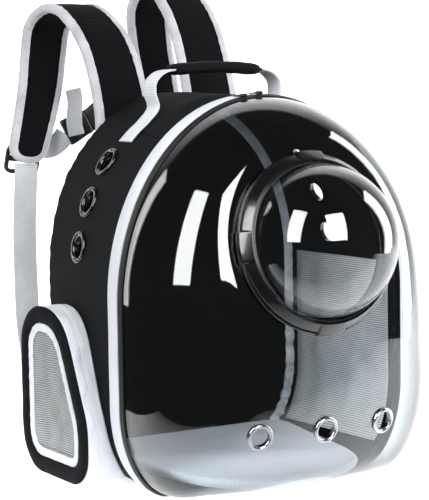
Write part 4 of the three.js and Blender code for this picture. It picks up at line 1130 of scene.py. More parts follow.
@dataclass
class FloorMat:
    """The removable mat: a soft-edged pad that covers the floor and runs into the clear front."""

    top: float = 23.0
    half_back: float = 130.0
    half_front: float = 112.0
    front: float = 84.0
    back: float = 181.6

    def plan(self) -> np.ndarray:
        """The mat's outline seen from above: straight back, gently narrowing sides and a rounded
        front, as a smooth loop of (x, depth)."""
        rows = np.array(
            [[0, 0.9], [0.04, 1], [0.35, 0.97], [0.7, 0.9], [0.84, 0.8], [0.93, 0.62], [0.98, 0.38],
             [1, 0.16]]
        )
        depth = mix(self.back, -self.front, rows[:, 0])
        half = mix(self.half_back, self.half_front, rows[:, 0]) * rows[:, 1]
        right = np.column_stack([half, depth, np.zeros(8)])
        left = right[::-1] * np.array([-1, 1, 1])
        path = Path(np.vstack([right, left]))
        side = path.at(np.linspace(0, 1, 260) * path.length)
        return side[:, :2]

    def build(self) -> None:
        """Rings from the rim to the middle: the side is a rounded roll, and the top sinks and
        swells by a millimetre or so, with short gathers along the rim's seam."""
        plan = self.plan()
        middle = np.array([0.0, 70.0])
        roll = np.array([
            [0.80, 6.0], [0.88, 7.5], [0.945, 11.0], [0.985, 15.5], [0.995, 19.0], [0.985, 21.4],
            [0.97, 22.2], [0.955, 22.0], [0.94, 22.4],
        ])
        inner = np.column_stack([np.linspace(0.9, 0.02, 40), np.full(40, 22.6)])
        rows = np.vstack([roll, inner])
        xy = middle + (plan - middle)[None] * rows[:, :1, None]
        z = np.broadcast_to(rows[:, 1:], xy.shape[:2]).copy()
        calm = np.clip((0.97 - rows[:, :1]) / 0.08, 0, 1)
        z += calm * (0.9 * ripple(xy[..., 0], xy[..., 1], 90.0, 51) - 0.3)
        around = np.linspace(0, 900, plan.shape[0])[None, :]
        rim = bump(rows[:, :1], 0.95, 0.05)
        z += rim * 0.35 * ripple(around, rows[:, :1] * 0, 14.0, 52)
        z = np.clip(z, 5.6, self.top + 1.2)
        under = middle + (plan - middle)[None] * np.linspace(0.02, 0.74, 8)[:, None, None]
        bottom = np.concatenate([under, xy])
        height = np.concatenate([np.full((8, plan.shape[0]), 5.4), z])
        points = np.concatenate([bottom, height[..., None]], -1)
        obj = Piece("floor_mat_pad", MAT_CLOTH, ("floor_mat",)).make(
            Grid.capped(points)
        )


@dataclass
class FrontEdge:
    """The webbing band round the bag's front edge, the zipper beside it and its two sliders."""

    pull_x: tuple[float, float] = (-24.0, -5.0)

    def build(self) -> None:
        """Builds the band, the zipper and the pulls."""
        share = np.linspace(0, 1, 760, endpoint=False)
        outer = [(0.2, 1.45), (0.2, 0.5), (0.7, 0.12), (1.6, 0.0), (2.4, 0.2), (3.2, 0.02), (12.0, -0.25),
                 (20.8, 0.02),
                 (21.6, 0.2), (22.4, 0.0), (23.3, 0.12), (23.8, 0.5), (23.8, 1.45)]

        def uneven(along: np.ndarray, depth: np.ndarray) -> np.ndarray:
            """Slow waves in the band's face and small dips at each stitch."""
            face = bump(depth, 12.0, 14.0)
            stitch = bump(depth, 2.4, 0.7) + bump(depth, 21.6, 0.7)
            dip = 0.5 + 0.5 * np.sin(along * 2 * math.pi / 4.0)
            return 0.3 * face * ripple(along, depth, 70.0, 61) - 0.18 * stitch * dip

        Piece("front_band_webbing", WHITE_BAND, ("front_band",)).make(FORM.band(share, outer, uneven))
        self.zipper()
        for word, x in zip(("left", "right"), self.pull_x):
            self.pull(f"zipper_pull_{word}", x)

    def zipper(self) -> None:
        """Tape with a raised coil along its middle whose turns stand every 2 mm."""
        share = np.linspace(0, 1, 2600, endpoint=False)
        profile = [(-0.4, 2.2), (-0.4, 0.9), (-0.9, 0.6), (-2.6, 0.6), (-3.1, 0.25), (-3.9, -0.35),
                   (-4.7, -0.55), (-5.5, -0.35),
                   (-6.3, 0.25), (-6.8, 0.6), (-8.6, 0.6), (-9.1, 0.9), (-9.1, 2.2)]

        def coil(along: np.ndarray, depth: np.ndarray) -> np.ndarray:
            """The coil's turns, on the raised middle only."""
            return 0.32 * bump(depth, -4.7, 1.5) * np.sin(along * 2 * math.pi / 2.0)

        Piece("zipper_coil_tape", ZIP_COIL, ("zipper_tape",)).make(FORM.band(share, profile, coil))

    def pull(self, node: str, x: float) -> None:
        """A slider body on the coil and its flat pull, waisted, lying back over the band."""
        low, high = (np.array(c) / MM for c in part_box(node))
        middle = np.array([x, (low[1] + high[1]) / 2 + ORIGIN_DEPTH, low[2] + 0.9])
        seat = Seat(middle, np.array([x / 320, 0.0, 1.0]), np.array([0.0, 1.0, 0.0]))
        angle = np.linspace(0, 2 * math.pi, 40, endpoint=False)[None, :]
        c, s = power_circle(angle, 0.55)
        along = np.array([-11, -10.6, -9.4, -7, -4, -1, 3, 7, 9.6, 10.7, 11])[:, None]
        half = np.array([1.8, 3.0, 3.5, 3.5, 3.3, 2.2, 2.0, 2.4, 2.3, 1.7, 0.9])[:, None]
        thick = np.array([0.9, 1.4, 1.7, 1.7, 1.4, 0.9, 0.8, 0.8, 0.8, 0.7, 0.4])[:, None]
        lift = np.array([0.7, 0.8, 1.0, 1.0, 0.9, 0.6, 0.5, 0.5, 0.5, 0.5, 0.5])[:, None]
        points = seat.place(half * c, along + 0 * c, lift + thick * s)
        Piece(f"{node}_slider", SATIN_BLACK, (node,)).make(Grid.capped(points))


@dataclass
class ClearFront:
    """The clear shell that bulges forward from the zipper to the bubble's round land."""

    depth: float = 102.0
    land: float = 95.0
    window: float = 76.5
    ring_height: float = 260.5
    tilt: float = 12.0
    wall: float = 1.6
    inset: float = 2.6
    grommet_height: float = 74.0
    grommet_spacing: float = 74.0
    fullness: tuple = ((-90, 3.4), (-75, 3.4), (-65, 2.4), (-15, 1.8), (40, 1.75), (90, 1.8))

    def axis(self) -> np.ndarray:
        """The bubble's axis, forwards and tilted up."""
        return np.array([0, -math.cos(self.tilt * DEGREES), math.sin(self.tilt * DEGREES)])

    def seat(self) -> Seat:
        """The middle of the round land."""
        return Seat(np.array([0, -self.depth, self.ring_height]), self.axis())

    def surface(self, turns: int = 300, rows: int = 46) -> np.ndarray:
        """The shell's outer surface.

        Each line from the rim to the land is a quarter of a superellipse: the share across is the
        sine of an angle, and the share forwards its cosine, each to the power two over the
        fullness, which depends on the direction round the bubble.
        """
        share = np.linspace(0, 1, turns, endpoint=False)
        start = -9.6
        rim = FORM.point(share, start, self.inset)
        away = np.arctan2(rim[:, 2] - self.ring_height, rim[:, 0])
        folded = np.arctan2(rim[:, 2] - self.ring_height, np.abs(rim[:, 0])) / DEGREES
        table = np.array(self.fullness)
        near = [np.clip(folded + d, -90, 90) for d in (-9, -6, -3, 0, 3, 6, 9)]
        soft = np.mean([np.interp(angle, table[:, 0], table[:, 1]) for angle in near], 0)
        power = (2 / soft)[None, :]
        turn = (np.linspace(0, 1, rows) * math.pi / 2)[:, None]
        across, forward = np.cos(turn) ** power, np.sin(turn) ** power
        seat = self.seat()
        ring = seat.place(np.cos(away) * self.land, np.sin(away) * self.land, np.zeros(turns))
        x = mix(ring[None, :, 0], rim[None, :, 0], across)
        y = mix(start, ring[None, :, 1], forward)
        z = mix(ring[None, :, 2], rim[None, :, 2], across)
        body = np.stack([x, np.broadcast_to(y, x.shape), z], -1)
        skirt = FORM.point(share[None, :], np.array([-0.8, -3.0, -6.0, -8.6])[:, None], self.inset)
        shares = np.array([88.0, 82.0, self.window])[:, None, None] / self.land
        hub = seat.point + (ring - seat.point)[None] * shares
        return np.concatenate([skirt, body, hub])

    def grommet_seats(self, points: np.ndarray) -> list[Seat]:
        """Where the three grommets sit: the surface point nearest each place, and its normal
        averaged over the cells round it."""
        round_way = np.roll(points, -1, 1) - np.roll(points, 1, 1)
        up_way = np.gradient(points, axis=0)
        normal = unit(np.cross(up_way, round_way))
        normal *= np.sign(-normal[..., 1:2] + 1e-6)
        made = []
        for k in (-1, 0, 1):
            x, z = k * self.grommet_spacing, self.grommet_height
            flat = np.hypot(points[..., 0] - x, points[..., 2] - z)
            flat = np.where(points[..., 1] < -40, flat, 1e6)
            out = unit(normal[flat < 9.0].mean(0))
            here = points.reshape(-1, 3)[int(flat.argmin())]
            y = here[1] - ((x - here[0]) * out[0] + (z - here[2]) * out[2]) / out[1]
            made.append(Seat(np.array([x, y, z]), out))
        return made

    def build(self) -> None:
        """The shell with its three holes, and the grommets pressed into them."""
        points = self.surface()
        seats = self.grommet_seats(points)
        holes = tuple(Hole(s.point, s.normal, 10.6, 30.0) for s in seats)
        Piece(
            "clear_shell_sheet", CLEAR_SHEET, ("clear_shell",), wall=self.wall, holes=holes,
            inside=(0.0, 40.0, 200.0),
        ).make(Grid(points, wrap_cols=True))
        for k, seat in enumerate(seats):
            self.grommet(seat, f"grommet_{k + 1}")

    def grommet(self, seat: Seat, node: str) -> None:
        """A rolled metal ring through the sheet, with its washer behind."""
        r, h = 13.8, 9.5
        profile = [
            (h + 0.2, -3.6), (r - 1.2, -3.9), (r - 0.8, -3.4), (r - 1.0, -2.6), (h + 1.0, -2.3),
            (h + 1.0, 0.3), (r - 0.5, 0.35),
            (r, 0.9), (r - 0.2, 1.6), (r - 0.9, 2.3), (r - 1.9, 2.6), (r - 2.9, 2.4), (h + 0.6, 1.7),
            (h + 0.1, 0.8), (h, -0.4),
        ]
        Piece(f"{node}_ring", GROMMET_NICKEL, (node,)).make(seat.turned(profile, 72))


@dataclass
class Bubble:
    """The round window: the collar fixed in the shell, and the ring and dome that twist in it."""

    seat: Seat
    collar: float = 91.4
    ring: float = 90.0
    tab: float = 93.2
    dome: float = 78.5
    tabs: int = 4
    tab_span: float = 20.0

    def build(self) -> None:
        """Builds collar, ring and dome."""
        self.collar_ring()
        self.lock_ring()
        self.dome_cap()

    def collar_ring(self) -> None:
        """A stepped collar: a thin flange on the sheet, a fine shadow groove and a short sleeve."""
        r = self.collar
        profile = rounded([
            (75.2, -2.6), (75.2, 4.4), (r - 4.6, 4.45), (r - 4.4, 3.5), (r - 3.4, 3.5), (r - 3.2, 4.4),
            (r, 4.3),
            (r, 0.3), (76.8, 0.3), (76.8, -2.6),
        ], 0.5, 2)
        Piece("bubble_collar_ring", GLOSS_BLACK, ("bubble_collar",)).make(self.seat.turned(profile, 160))

    def lock_ring(self) -> None:
        """The twisting ring: a wide chamfered face, a groove inside it and a bright inner lip;
        its radius grows by a smooth step at each tab."""
        r, inner, foot, top = self.ring, 78.9, 4.9, 15.8
        profile = rounded([
            (83.6, foot), (r, foot), (r, 7.6), (r - 6.6, 15.5), (r - 7.2, top), (r - 8.2, top),
            (r - 8.5, 14.4),
            (r - 9.2, 14.4), (r - 9.5, 15.4), (inner + 0.7, 15.5), (inner, 14.6), (inner, 6.7), (83.6, 6.7),
        ], 0.7, 3)
        grow = np.where(profile[:, 0] > r - 0.6, 1.0, 0.0) * np.where(profile[:, 1] < 8.9, 1.0, 0.0)

        def swell(angle: np.ndarray, row: np.ndarray) -> np.ndarray:
            """The tabs' extra radius."""
            turn = np.mod(angle / DEGREES + 180.0 / self.tabs, 360.0 / self.tabs) - 180.0 / self.tabs
            step = 1 / (1 + np.exp((np.abs(turn) - self.tab_span / 2) / 0.25))
            return step * (self.tab - self.ring) * grow[row]

        ring = self.seat.turned(profile, 720, swell=swell)
        Piece("lock_ring_twist", GLOSS_BLACK, ("lock_ring",), body=Body.BUBBLE).make(ring, *self.tab_skirts())

    def tab_skirts(self) -> list[Grid]:
        """The part of each tab that hangs over the collar's edge: a rounded block on an arc."""
        made = []
        section = rounded([(91.8, 1.4), (self.tab, 1.4), (self.tab, 7.5), (91.8, 7.5)], 0.45, 2)
        for k in range(self.tabs):
            middle = k * 360 / self.tabs
            turn = (middle + np.linspace(-0.5, 0.5, 25) * self.tab_span)[:, None] * DEGREES
            radius, height = section.T
            points = self.seat.place(radius * np.cos(turn), radius * np.sin(turn), height[None, :] + 0 * turn)
            made.append(Grid.capped(points))
        return made

    def dome_cap(self) -> None:
        """A blown dome: a flange, a short straight skirt and half a sphere closed at its pole."""
        angle = np.linspace(0, 89.0, 60) * DEGREES
        sphere = np.column_stack([self.dome * np.cos(angle), 8.0 + self.dome * np.sin(angle)])
        skirt = np.array([[82.6, 6.5], [80.5, 6.5], [79.2, 6.6], [78.6, 7.1]])
        grid = self.seat.turned(np.vstack([skirt, sphere]), 200, closed=False)
        grid.pole = True
        inside = tuple(self.seat.point)
        piece = Piece("bubble_dome_cap", CLEAR_BLOWN, ("bubble_dome",), Body.BUBBLE, wall=1.6, inside=inside)
        piece.make(grid)


@dataclass
class Pocket:
    """A side pocket: its white gusset, the padded face border, the trim and the mesh panel."""

    front: float = 40.0
    back: float = 188.0
    bottom: float = 6.0
    top: float = 187.0
    reach_front: float = 21.0
    reach_back: float = 37.0
    border: float = 18.0
    trim: float = 9.0
    corners: tuple = ((1, 0, 46), (1, 1, 48), (0.36, 1, 62), (0, 0.36, 60), (0, 0, 34))

    def outline(self, inset: float, steps: int = 12, even: int = 0) -> np.ndarray:
        """The pocket's outline in depth and height: five corners rounded by true arcs.

        Args:
            inset: How far the outline is drawn in.
            steps: Points on each arc, less one.
            even: If set, the loop is resampled to this many evenly spaced points.
        Returns:
            The loop's points.
        """
        spots = np.array(
            [[mix(self.front, self.back, a), mix(self.bottom, self.top, b)] for a, b, _ in self.corners]
        )
        radii = np.array([row[2] for row in self.corners], float)
        inward, outward = unit(np.roll(spots, 1, 0) - spots), unit(np.roll(spots, -1, 0) - spots)
        half = np.arccos(np.clip((inward * outward).sum(1), -1, 1)) / 2
        centre = spots + unit(inward + outward) * (radii / np.sin(half))[:, None]
        start = inward * (radii / np.tan(half))[:, None] + spots - centre
        turn = (math.pi - 2 * half)[:, None] * np.linspace(0, 1, steps + 1)[None, :]
        cosine, sine = np.cos(turn), np.sin(turn)
        arm = np.stack([
            start[:, :1] * cosine - start[:, 1:] * sine,
            start[:, :1] * sine + start[:, 1:] * cosine,
        ], -1)
        loop = (centre[:, None] + arm * ((radii - inset) / radii)[:, None, None]).reshape(-1, 2)
        if not even:
            return loop
        closed = np.vstack([loop, loop[:1]])
        reach = np.concatenate([[0], np.cumsum(np.linalg.norm(np.diff(closed, axis=0), axis=1))])
        at = np.linspace(0, reach[-1], even, endpoint=False)
        return np.stack([np.interp(at, reach, closed[:, 0]), np.interp(at, reach, closed[:, 1])], -1)

    def face_x(self, depth: np.ndarray) -> np.ndarray:
        """Half-width of the pocket's outer face at a depth."""
        share = (depth - self.front) / (self.back - self.front)
        half = FORM.sizes(np.array([self.front, self.back]))[0]
        return mix(half[0] + self.reach_front, half[1] + self.reach_back, share)

    def build(self, side: Side) -> None:
        """Builds one side's pocket."""
        self.gusset(side)
        self.face(side)
        self.trim_band(side)
        self.mesh(side)

    def gusset(self, side: Side) -> None:
        """The white wall from the bag to the face, gathered by short folds, with a narrow zip
        line along its middle."""
        loop = self.outline(0.0, even=420)
        depth, height = loop.T
        wall = FORM.wall(height, depth, 1.4)
        t = np.linspace(0, 1, 40)[:, None]
        out = mix(wall, self.face_x(depth) - 2.9, t)
        around = np.linspace(0, 560, 420)[None, :]
        hollow = np.sin(t * math.pi) * (1.0 * ripple(around, t * 30, 42.0, 71) - 0.6)
        fold = np.sin(t * math.pi) * 0.35 * ripple(around, t * 8, 13.0, 72)
        line = -0.9 * bump(t, 0.52, 0.035) - 0.5 * bump(t, 0.62, 0.02) - 0.5 * bump(t, 0.42, 0.02)
        seam = -1.1 * np.exp(-t / 0.03) - 0.8 * np.exp(-(1 - t) / 0.03)
        centre = loop.mean(0)
        outward = unit(loop - centre)
        move = (hollow + fold + line + seam)[..., None] * outward[None]
        yz = loop[None] + np.minimum(move, 0.9)
        points = np.concatenate([side.value * out[..., None], yz], -1)
        inside = (side.value * 170.0, float(centre[0]), float(centre[1]))
        node = f"pocket_gusset_{side.word}"
        piece = Piece(f"{node}_cloth", WHITE_GUSSET, (node,), wall=1.8, inside=inside)
        piece.make(Grid(points, wrap_cols=True))

    def ring(self, side: Side, rows: Sequence[Sequence[float]], count: int, wave=None) -> Grid:
        """Loops of the outline at rows of (inset, distance behind the face)."""
        made = []
        for k, (inset, behind) in enumerate(rows):
            loop = self.outline(inset, even=count)
            lift = 0 if wave is None else wave(np.linspace(0, 1, count), k)
            x = side.value * (self.face_x(loop[:, 0]) - behind + lift)
            made.append(np.column_stack([x, loop]))
        return Grid(np.array(made), wrap_rows=True, wrap_cols=True)

    def face(self, side: Side) -> None:
        """The padded black border round the mesh: a soft roll about 18 mm wide."""
        rows = [(0.2, 2.5), (-0.2, 1.4), (0.5, 0.1), (2.5, -1.1), (6.0, -2.0), (9.5, -2.2), (13.0, -1.7),
                (16.0, -0.6), (17.7, 0.6), (17.9, 2.4)]

        def wave(around: np.ndarray, row: int) -> np.ndarray:
            """Slight fullness along the roll."""
            return 0.35 * ripple(around * 560, np.full_like(around, row * 2.0), 48.0, 81)

        node = f"pocket_face_{side.word}"
        Piece(f"{node}_cloth", BLACK_OXFORD, (node,)).make(self.ring(side, rows, 360, wave))

    def trim_band(self, side: Side) -> None:
        """The white binding between border and mesh, its edge uneven by hand sewing."""
        b = self.border
        rows = [(b + 0.4, 1.6), (b + 0.3, 0.5), (b + 1.0, 0.0), (b + 4.5, -0.35), (b + 8.0, 0.0),
                (b + 9.2, 0.6), (b + 9.3, 1.6)]

        def wave(around: np.ndarray, row: int) -> np.ndarray:
            """Short gathers along the binding."""
            return 0.22 * ripple(around * 430, np.full_like(around, row * 3.0), 12.0, 82)

        node = f"pocket_trim_{side.word}"
        Piece(f"{node}_binding", WHITE_BAND, (node,)).make(self.ring(side, rows, 360, wave))

    def mesh(self, side: Side) -> None:
        """The mesh panel: rings from its rim to the middle, hollowed by slow upright folds."""
        rim = self.outline(self.border + self.trim - 3.4, even=260)
        centre = rim.mean(0)
        t = np.linspace(0, 0.985, 34)[:, None, None]
        loop = mix(rim[None], centre[None, None], t)
        calm = np.clip(t[..., 0] / 0.12, 0, 1)
        fold = ripple(loop[..., 0] * 1.6, loop[..., 1] * 0.12, 38.0, 91)
        sag = -2.2 * calm * bump(loop[..., 0], 118.0, 10.0) + 1.1 * calm * fold - 0.8 * calm
        x = side.value * (self.face_x(loop[..., 0]) - 2.4 + sag)
        points = np.concatenate([x[..., None], loop], -1)
        node = f"pocket_mesh_{side.word}"
        inside = (side.value * 150.0, float(centre[0]), float(centre[1]))
        uv_ready = self.upright(points)
        obj = Piece(f"{node}_panel", GREY_MESH, (node,), wall=0.8, inside=inside).make(uv_ready)
        lay_flat(obj)
        f"pocket_trim_{side.word}_binding"

    @staticmethod
    def upright(points: np.ndarray) -> Grid:
        """Rings closed round and capped at the middle."""
        return Grid(points, wrap_cols=True, cap_last=True)


def lay_flat(obj: bpy.types.Object) -> None:
    """Gives an upright cloth panel a UV map of its own depth and height in metres, so that its
    ribs run level whatever way its grid was drawn."""
    mesh = obj.data
    place = np.zeros(len(mesh.vertices) * 3, np.float32)
    mesh.vertices.foreach_get("co", place)
    index = np.zeros(len(mesh.loops), np.int32)
    mesh.loops.foreach_get("vertex_index", index)
    uv = place.reshape(-1, 3)[index][:, 1:]
    mesh.uv_layers["UVMap"].data.foreach_set("uv", np.ascontiguousarray(uv).ravel())


POCKET = Pocket()


@dataclass
class SideLining:
    """The pale mesh sewn inside each side gusset, from the bottom corner to above the pocket."""

    inset: float = 5.8
    front: float = 6.0
    back: float = 172.0
    top: float = 224.0

    def build(self, side: Side) -> None:
        """A sheet between two shares of the outline, with slow upright folds and a sewn rim."""
        depth = np.linspace(self.front, self.back, 60)[None, :]
        _, rise, centre = FORM.sizes(depth)
        low = mix(FORM.floor_end, FORM.corner_end, 0.42)
        high = FORM.arch_share(np.arcsin((self.top - centre) / rise) / DEGREES)
        t = np.linspace(0, 1, 90)[:, None]
        share = mix(low, high, t)
        rim = np.minimum(np.minimum(t, 1 - t) * 180, np.minimum(depth - self.front, self.back - depth))
        fold = np.clip(rim / 12, 0, 1) * (0.6 + 0.6 * ripple(depth, share * 180, 42.0, 93))
        points = FORM.point(share, depth, self.inset + fold)
        points[..., 0] *= side.value
        name = f"side_mesh_{side.word}"
        piece = Piece(f"{name}_lining", LINING_MESH, (name,), wall=0.8, inside=(0.0, 95.0, 150.0))
        obj = piece.make(Grid(points))
        lay_flat(obj)
        f"side_gusset_{side.word}_cloth"


def flat_band(centre: np.ndarray, across: np.ndarray, width, thickness: float, soft: float = 0.8) -> Grid:
    """A flat webbing along a line: a thin section with rounded edges, carried by its own frame.

    Args:
        centre: Points along the webbing's middle, in mm.
        across: Direction of its width at each point.
        width: Its width, one value or one for each point.
        thickness: Its thickness.
        soft: Relief of its two faces in mm: slow waves along its length.
    Returns:
        The closed surface.
    """
    along = unit(np.gradient(centre, axis=0))
    across = unit(across - (across * along).sum(-1, keepdims=True) * along)
    face = np.cross(across, along)
    half = np.broadcast_to(np.asarray(width, float) / 2, len(centre))
    edge = np.array([-1, -0.985, -0.94, -0.5, 0, 0.5, 0.94, 0.985, 1.0])
    round_off = np.array([0.0, 0.62, 1.0, 1.0, 1.0, 1.0, 1.0, 0.62, 0.0])
    aside = np.concatenate([edge, edge[-2:0:-1]])
    off = np.concatenate([-round_off, round_off[-2:0:-1]]) * thickness / 2
    reach = np.concatenate([[0], np.cumsum(np.linalg.norm(np.diff(centre, axis=0), axis=1))])
    wave = 0.1 * soft * ripple(reach[:, None], aside[None, :] * 12, 30.0, 101)
    points = (
        centre[:, None]
        + across[:, None] * (aside[None, :] * half[:, None])[..., None]
        + face[:, None] * (off[None, :] + wave)[..., None]
    )
    return Grid.capped(points)


@dataclass
class Handle:
    """The carrying handle: one webbing sewn to the top gusset at both tails, and its grip."""

    depth: float = 97.0
    leg_span: float = 73.0
    tail_span: float = 110.0
    top: float = 437.0
    width: float = 28.0
    grip_half: float = 54.0
    grip_arch: float = 3.0

    def gusset_point(self, x: float) -> np.ndarray:
        """The webbing's middle where it lies on the gusset at a distance from the middle."""
        angle = math.acos(x / float(FORM.sizes(np.array(self.depth))[0])) / DEGREES
        return FORM.point(FORM.arch_share(np.array(angle)), self.depth, 0.0)

    def grip_line(self, share: np.ndarray) -> np.ndarray:
        """The grip's slightly arched middle line, at shares from -1 to 1."""
        return np.stack([
            self.grip_half * share,
            np.full_like(share, self.depth),
            self.top + self.grip_arch * (1 - share**2),
        ], -1)

    def build(self) -> None:
        """Builds the webbing and the grip."""
        leg = self.gusset_point(self.leg_span)
        tail = [self.gusset_point(mix(self.tail_span, self.leg_span * 1.04, s)) for s in (0, 0.33, 0.66)]
        rise = [
            np.array([self.leg_span * a, self.depth, mix(leg[2], self.top, b)])
            for a, b in ((1.03, 0.12), (1.08, 0.45), (1.06, 0.72), (0.92, 0.93))
        ]
        grip = self.grip_line(np.array([1.0, 0.667, 0.333, 0.0]))
        half = np.vstack([tail, rise, grip])
        left = half[:-1] * np.array([-1, 1, 1])
        path = Path(np.vstack([left, half[::-1]]))
        along = np.linspace(0, path.length, 260)
        across = np.tile([0.0, 1.0, 0.0], (260, 1))
        centre = path.at(along)
        webbing = flat_band(centre, across, self.width, 1.9)
        Piece("carry_webbing", HANDLE_WEBBING, ("handle_webbing",)).make(webbing)
        self.grip()

    def grip(self) -> None:
        """The grip: a rubbed black sleeve round a flat slot, squeezed at its ends and slightly
        uneven over its surface."""
        ends = np.array([0.95, 0.98, 0.995, 1])
        share = np.concatenate([-ends[::-1], np.linspace(-0.9, 0.9, 40), ends])
        line = self.grip_line(share)
        angle = np.linspace(0, 2 * math.pi, 48, endpoint=False)
        c, s = power_circle(angle, 0.62)
        squeeze = 1 - 0.28 * np.abs(share) ** 14 - 0.45 * np.abs(share) ** 90
        wide = 16.2 * squeeze[:, None] * c
        high = 6.4 * squeeze[:, None] * s + 0.25 * ripple(share[:, None] * 54, angle[None, :] * 5, 20.0, 111)
        outer = line[:, None] + np.stack([np.zeros_like(wide), wide, high], -1)
        c2, s2 = power_circle(angle, 0.3)
        slot = line[::-1, None] + np.stack([
            np.zeros((len(share), 48)),
            np.tile(14.4 * c2, (len(share), 1)),
            np.tile(1.5 * s2, (len(share), 1)),
        ], -1)
        Piece("carry_grip_sleeve", BLACK_OXFORD, ("handle_grip",)).make(
            Grid(np.concatenate([outer, slot]), wrap_rows=True, wrap_cols=True)
        )


@dataclass
class StrapLine:
    """One shoulder strap's middle line and the frame that carries its flattened shapes."""

    side: Side
    root_span: float = 58.0
    end_span: float = 98.0
    reach: float = 184.0
    root_height: float = 385.0
    drop: float = 55.0
    width: float = 70.0
    end_round: float = 20.0
    seat: float = 201.1
    route: tuple = (
        (0, 0, -0.6), (0, 0.006, 0), (0, 0.055, 0.24), (0.025, 0.19, 0.6), (0.075, 0.355, 0.82),
        (0.15, 0.595, 0.985),
        (0.225, 0.81, 0.97), (0.3, 0.96, 0.84), (0.4, 0.985, 0.59), (0.55, 0.97, 0.31), (0.75, 0.97, 0.02),
        (0.95, 1, -0.71), (1, 1.015, -1),
    )
    widths: tuple = ((0, 1), (0.35, 0.95), (0.55, 0.87), (0.75, 0.82), (0.93, 0.74), (1, 0.68))
    path: Path = field(init=False)

    def __post_init__(self) -> None:
        """Draws the middle line; the right strap stands a little higher, as it was set down."""
        rise = 130.0 if self.side is Side.LEFT else 155.0
        spread, reach, height = np.array(self.route, float).T
        self.path = Path(np.column_stack([
            self.side.value * mix(self.root_span, self.end_span, spread),
            self.seat + reach * self.reach,
            self.root_height + height * np.where(height > 0, rise, self.drop),
        ]))

    @property
    def length(self) -> float:
        """Length of the pad."""
        return self.path.length

    def place(self, along, aside, off) -> np.ndarray:
        """Points at a length along the strap, aside from its middle and off its mid-surface."""
        along, aside, off = np.broadcast_arrays(np.asarray(along, float), aside, off)
        spot, tangent = self.path.at(along), self.path.tangent(along)
        across = unit(np.array([1.0, 0, 0]) - tangent[..., :1] * tangent)
        return spot + across * aside[..., None] + np.cross(across, tangent) * off[..., None]

    def half_width(self, along: np.ndarray, inset: float) -> np.ndarray:
        """Half the strap's width, rounded off over its last stretch by a superellipse."""
        table = np.array(self.widths)
        near = [along / self.length + d for d in (-0.06, -0.03, 0, 0.03, 0.06)]
        soft = np.mean([np.interp(share, table[:, 0], table[:, 1]) for share in near], 0)
        half = self.width / 2 * soft - inset
        past = np.clip((along - self.length + self.end_round) / (self.end_round - inset), 0, 1)
        return half * (1 - past**2) ** 0.4

    def stations(self, inset: float, count: int = 150) -> np.ndarray:
        """Lengths along the strap, closer together round its end."""
        straight = self.length - self.end_round
        turn = np.linspace(0, 1, 26)[1:] * math.pi / 2
        rounding = straight + (self.end_round - inset) * np.sin(turn) * 0.9995
        return np.concatenate([np.linspace(0, straight, count), rounding])

    def curl(self, along: np.ndarray) -> np.ndarray:
        """How sharply the strap bends over its arch, from 0 to 1, for the wrinkles there."""
        ahead, behind = self.path.tangent(along + 12), self.path.tangent(along - 12)
        return np.clip(np.linalg.norm(ahead - behind, axis=-1) / 0.35, 0, 1)


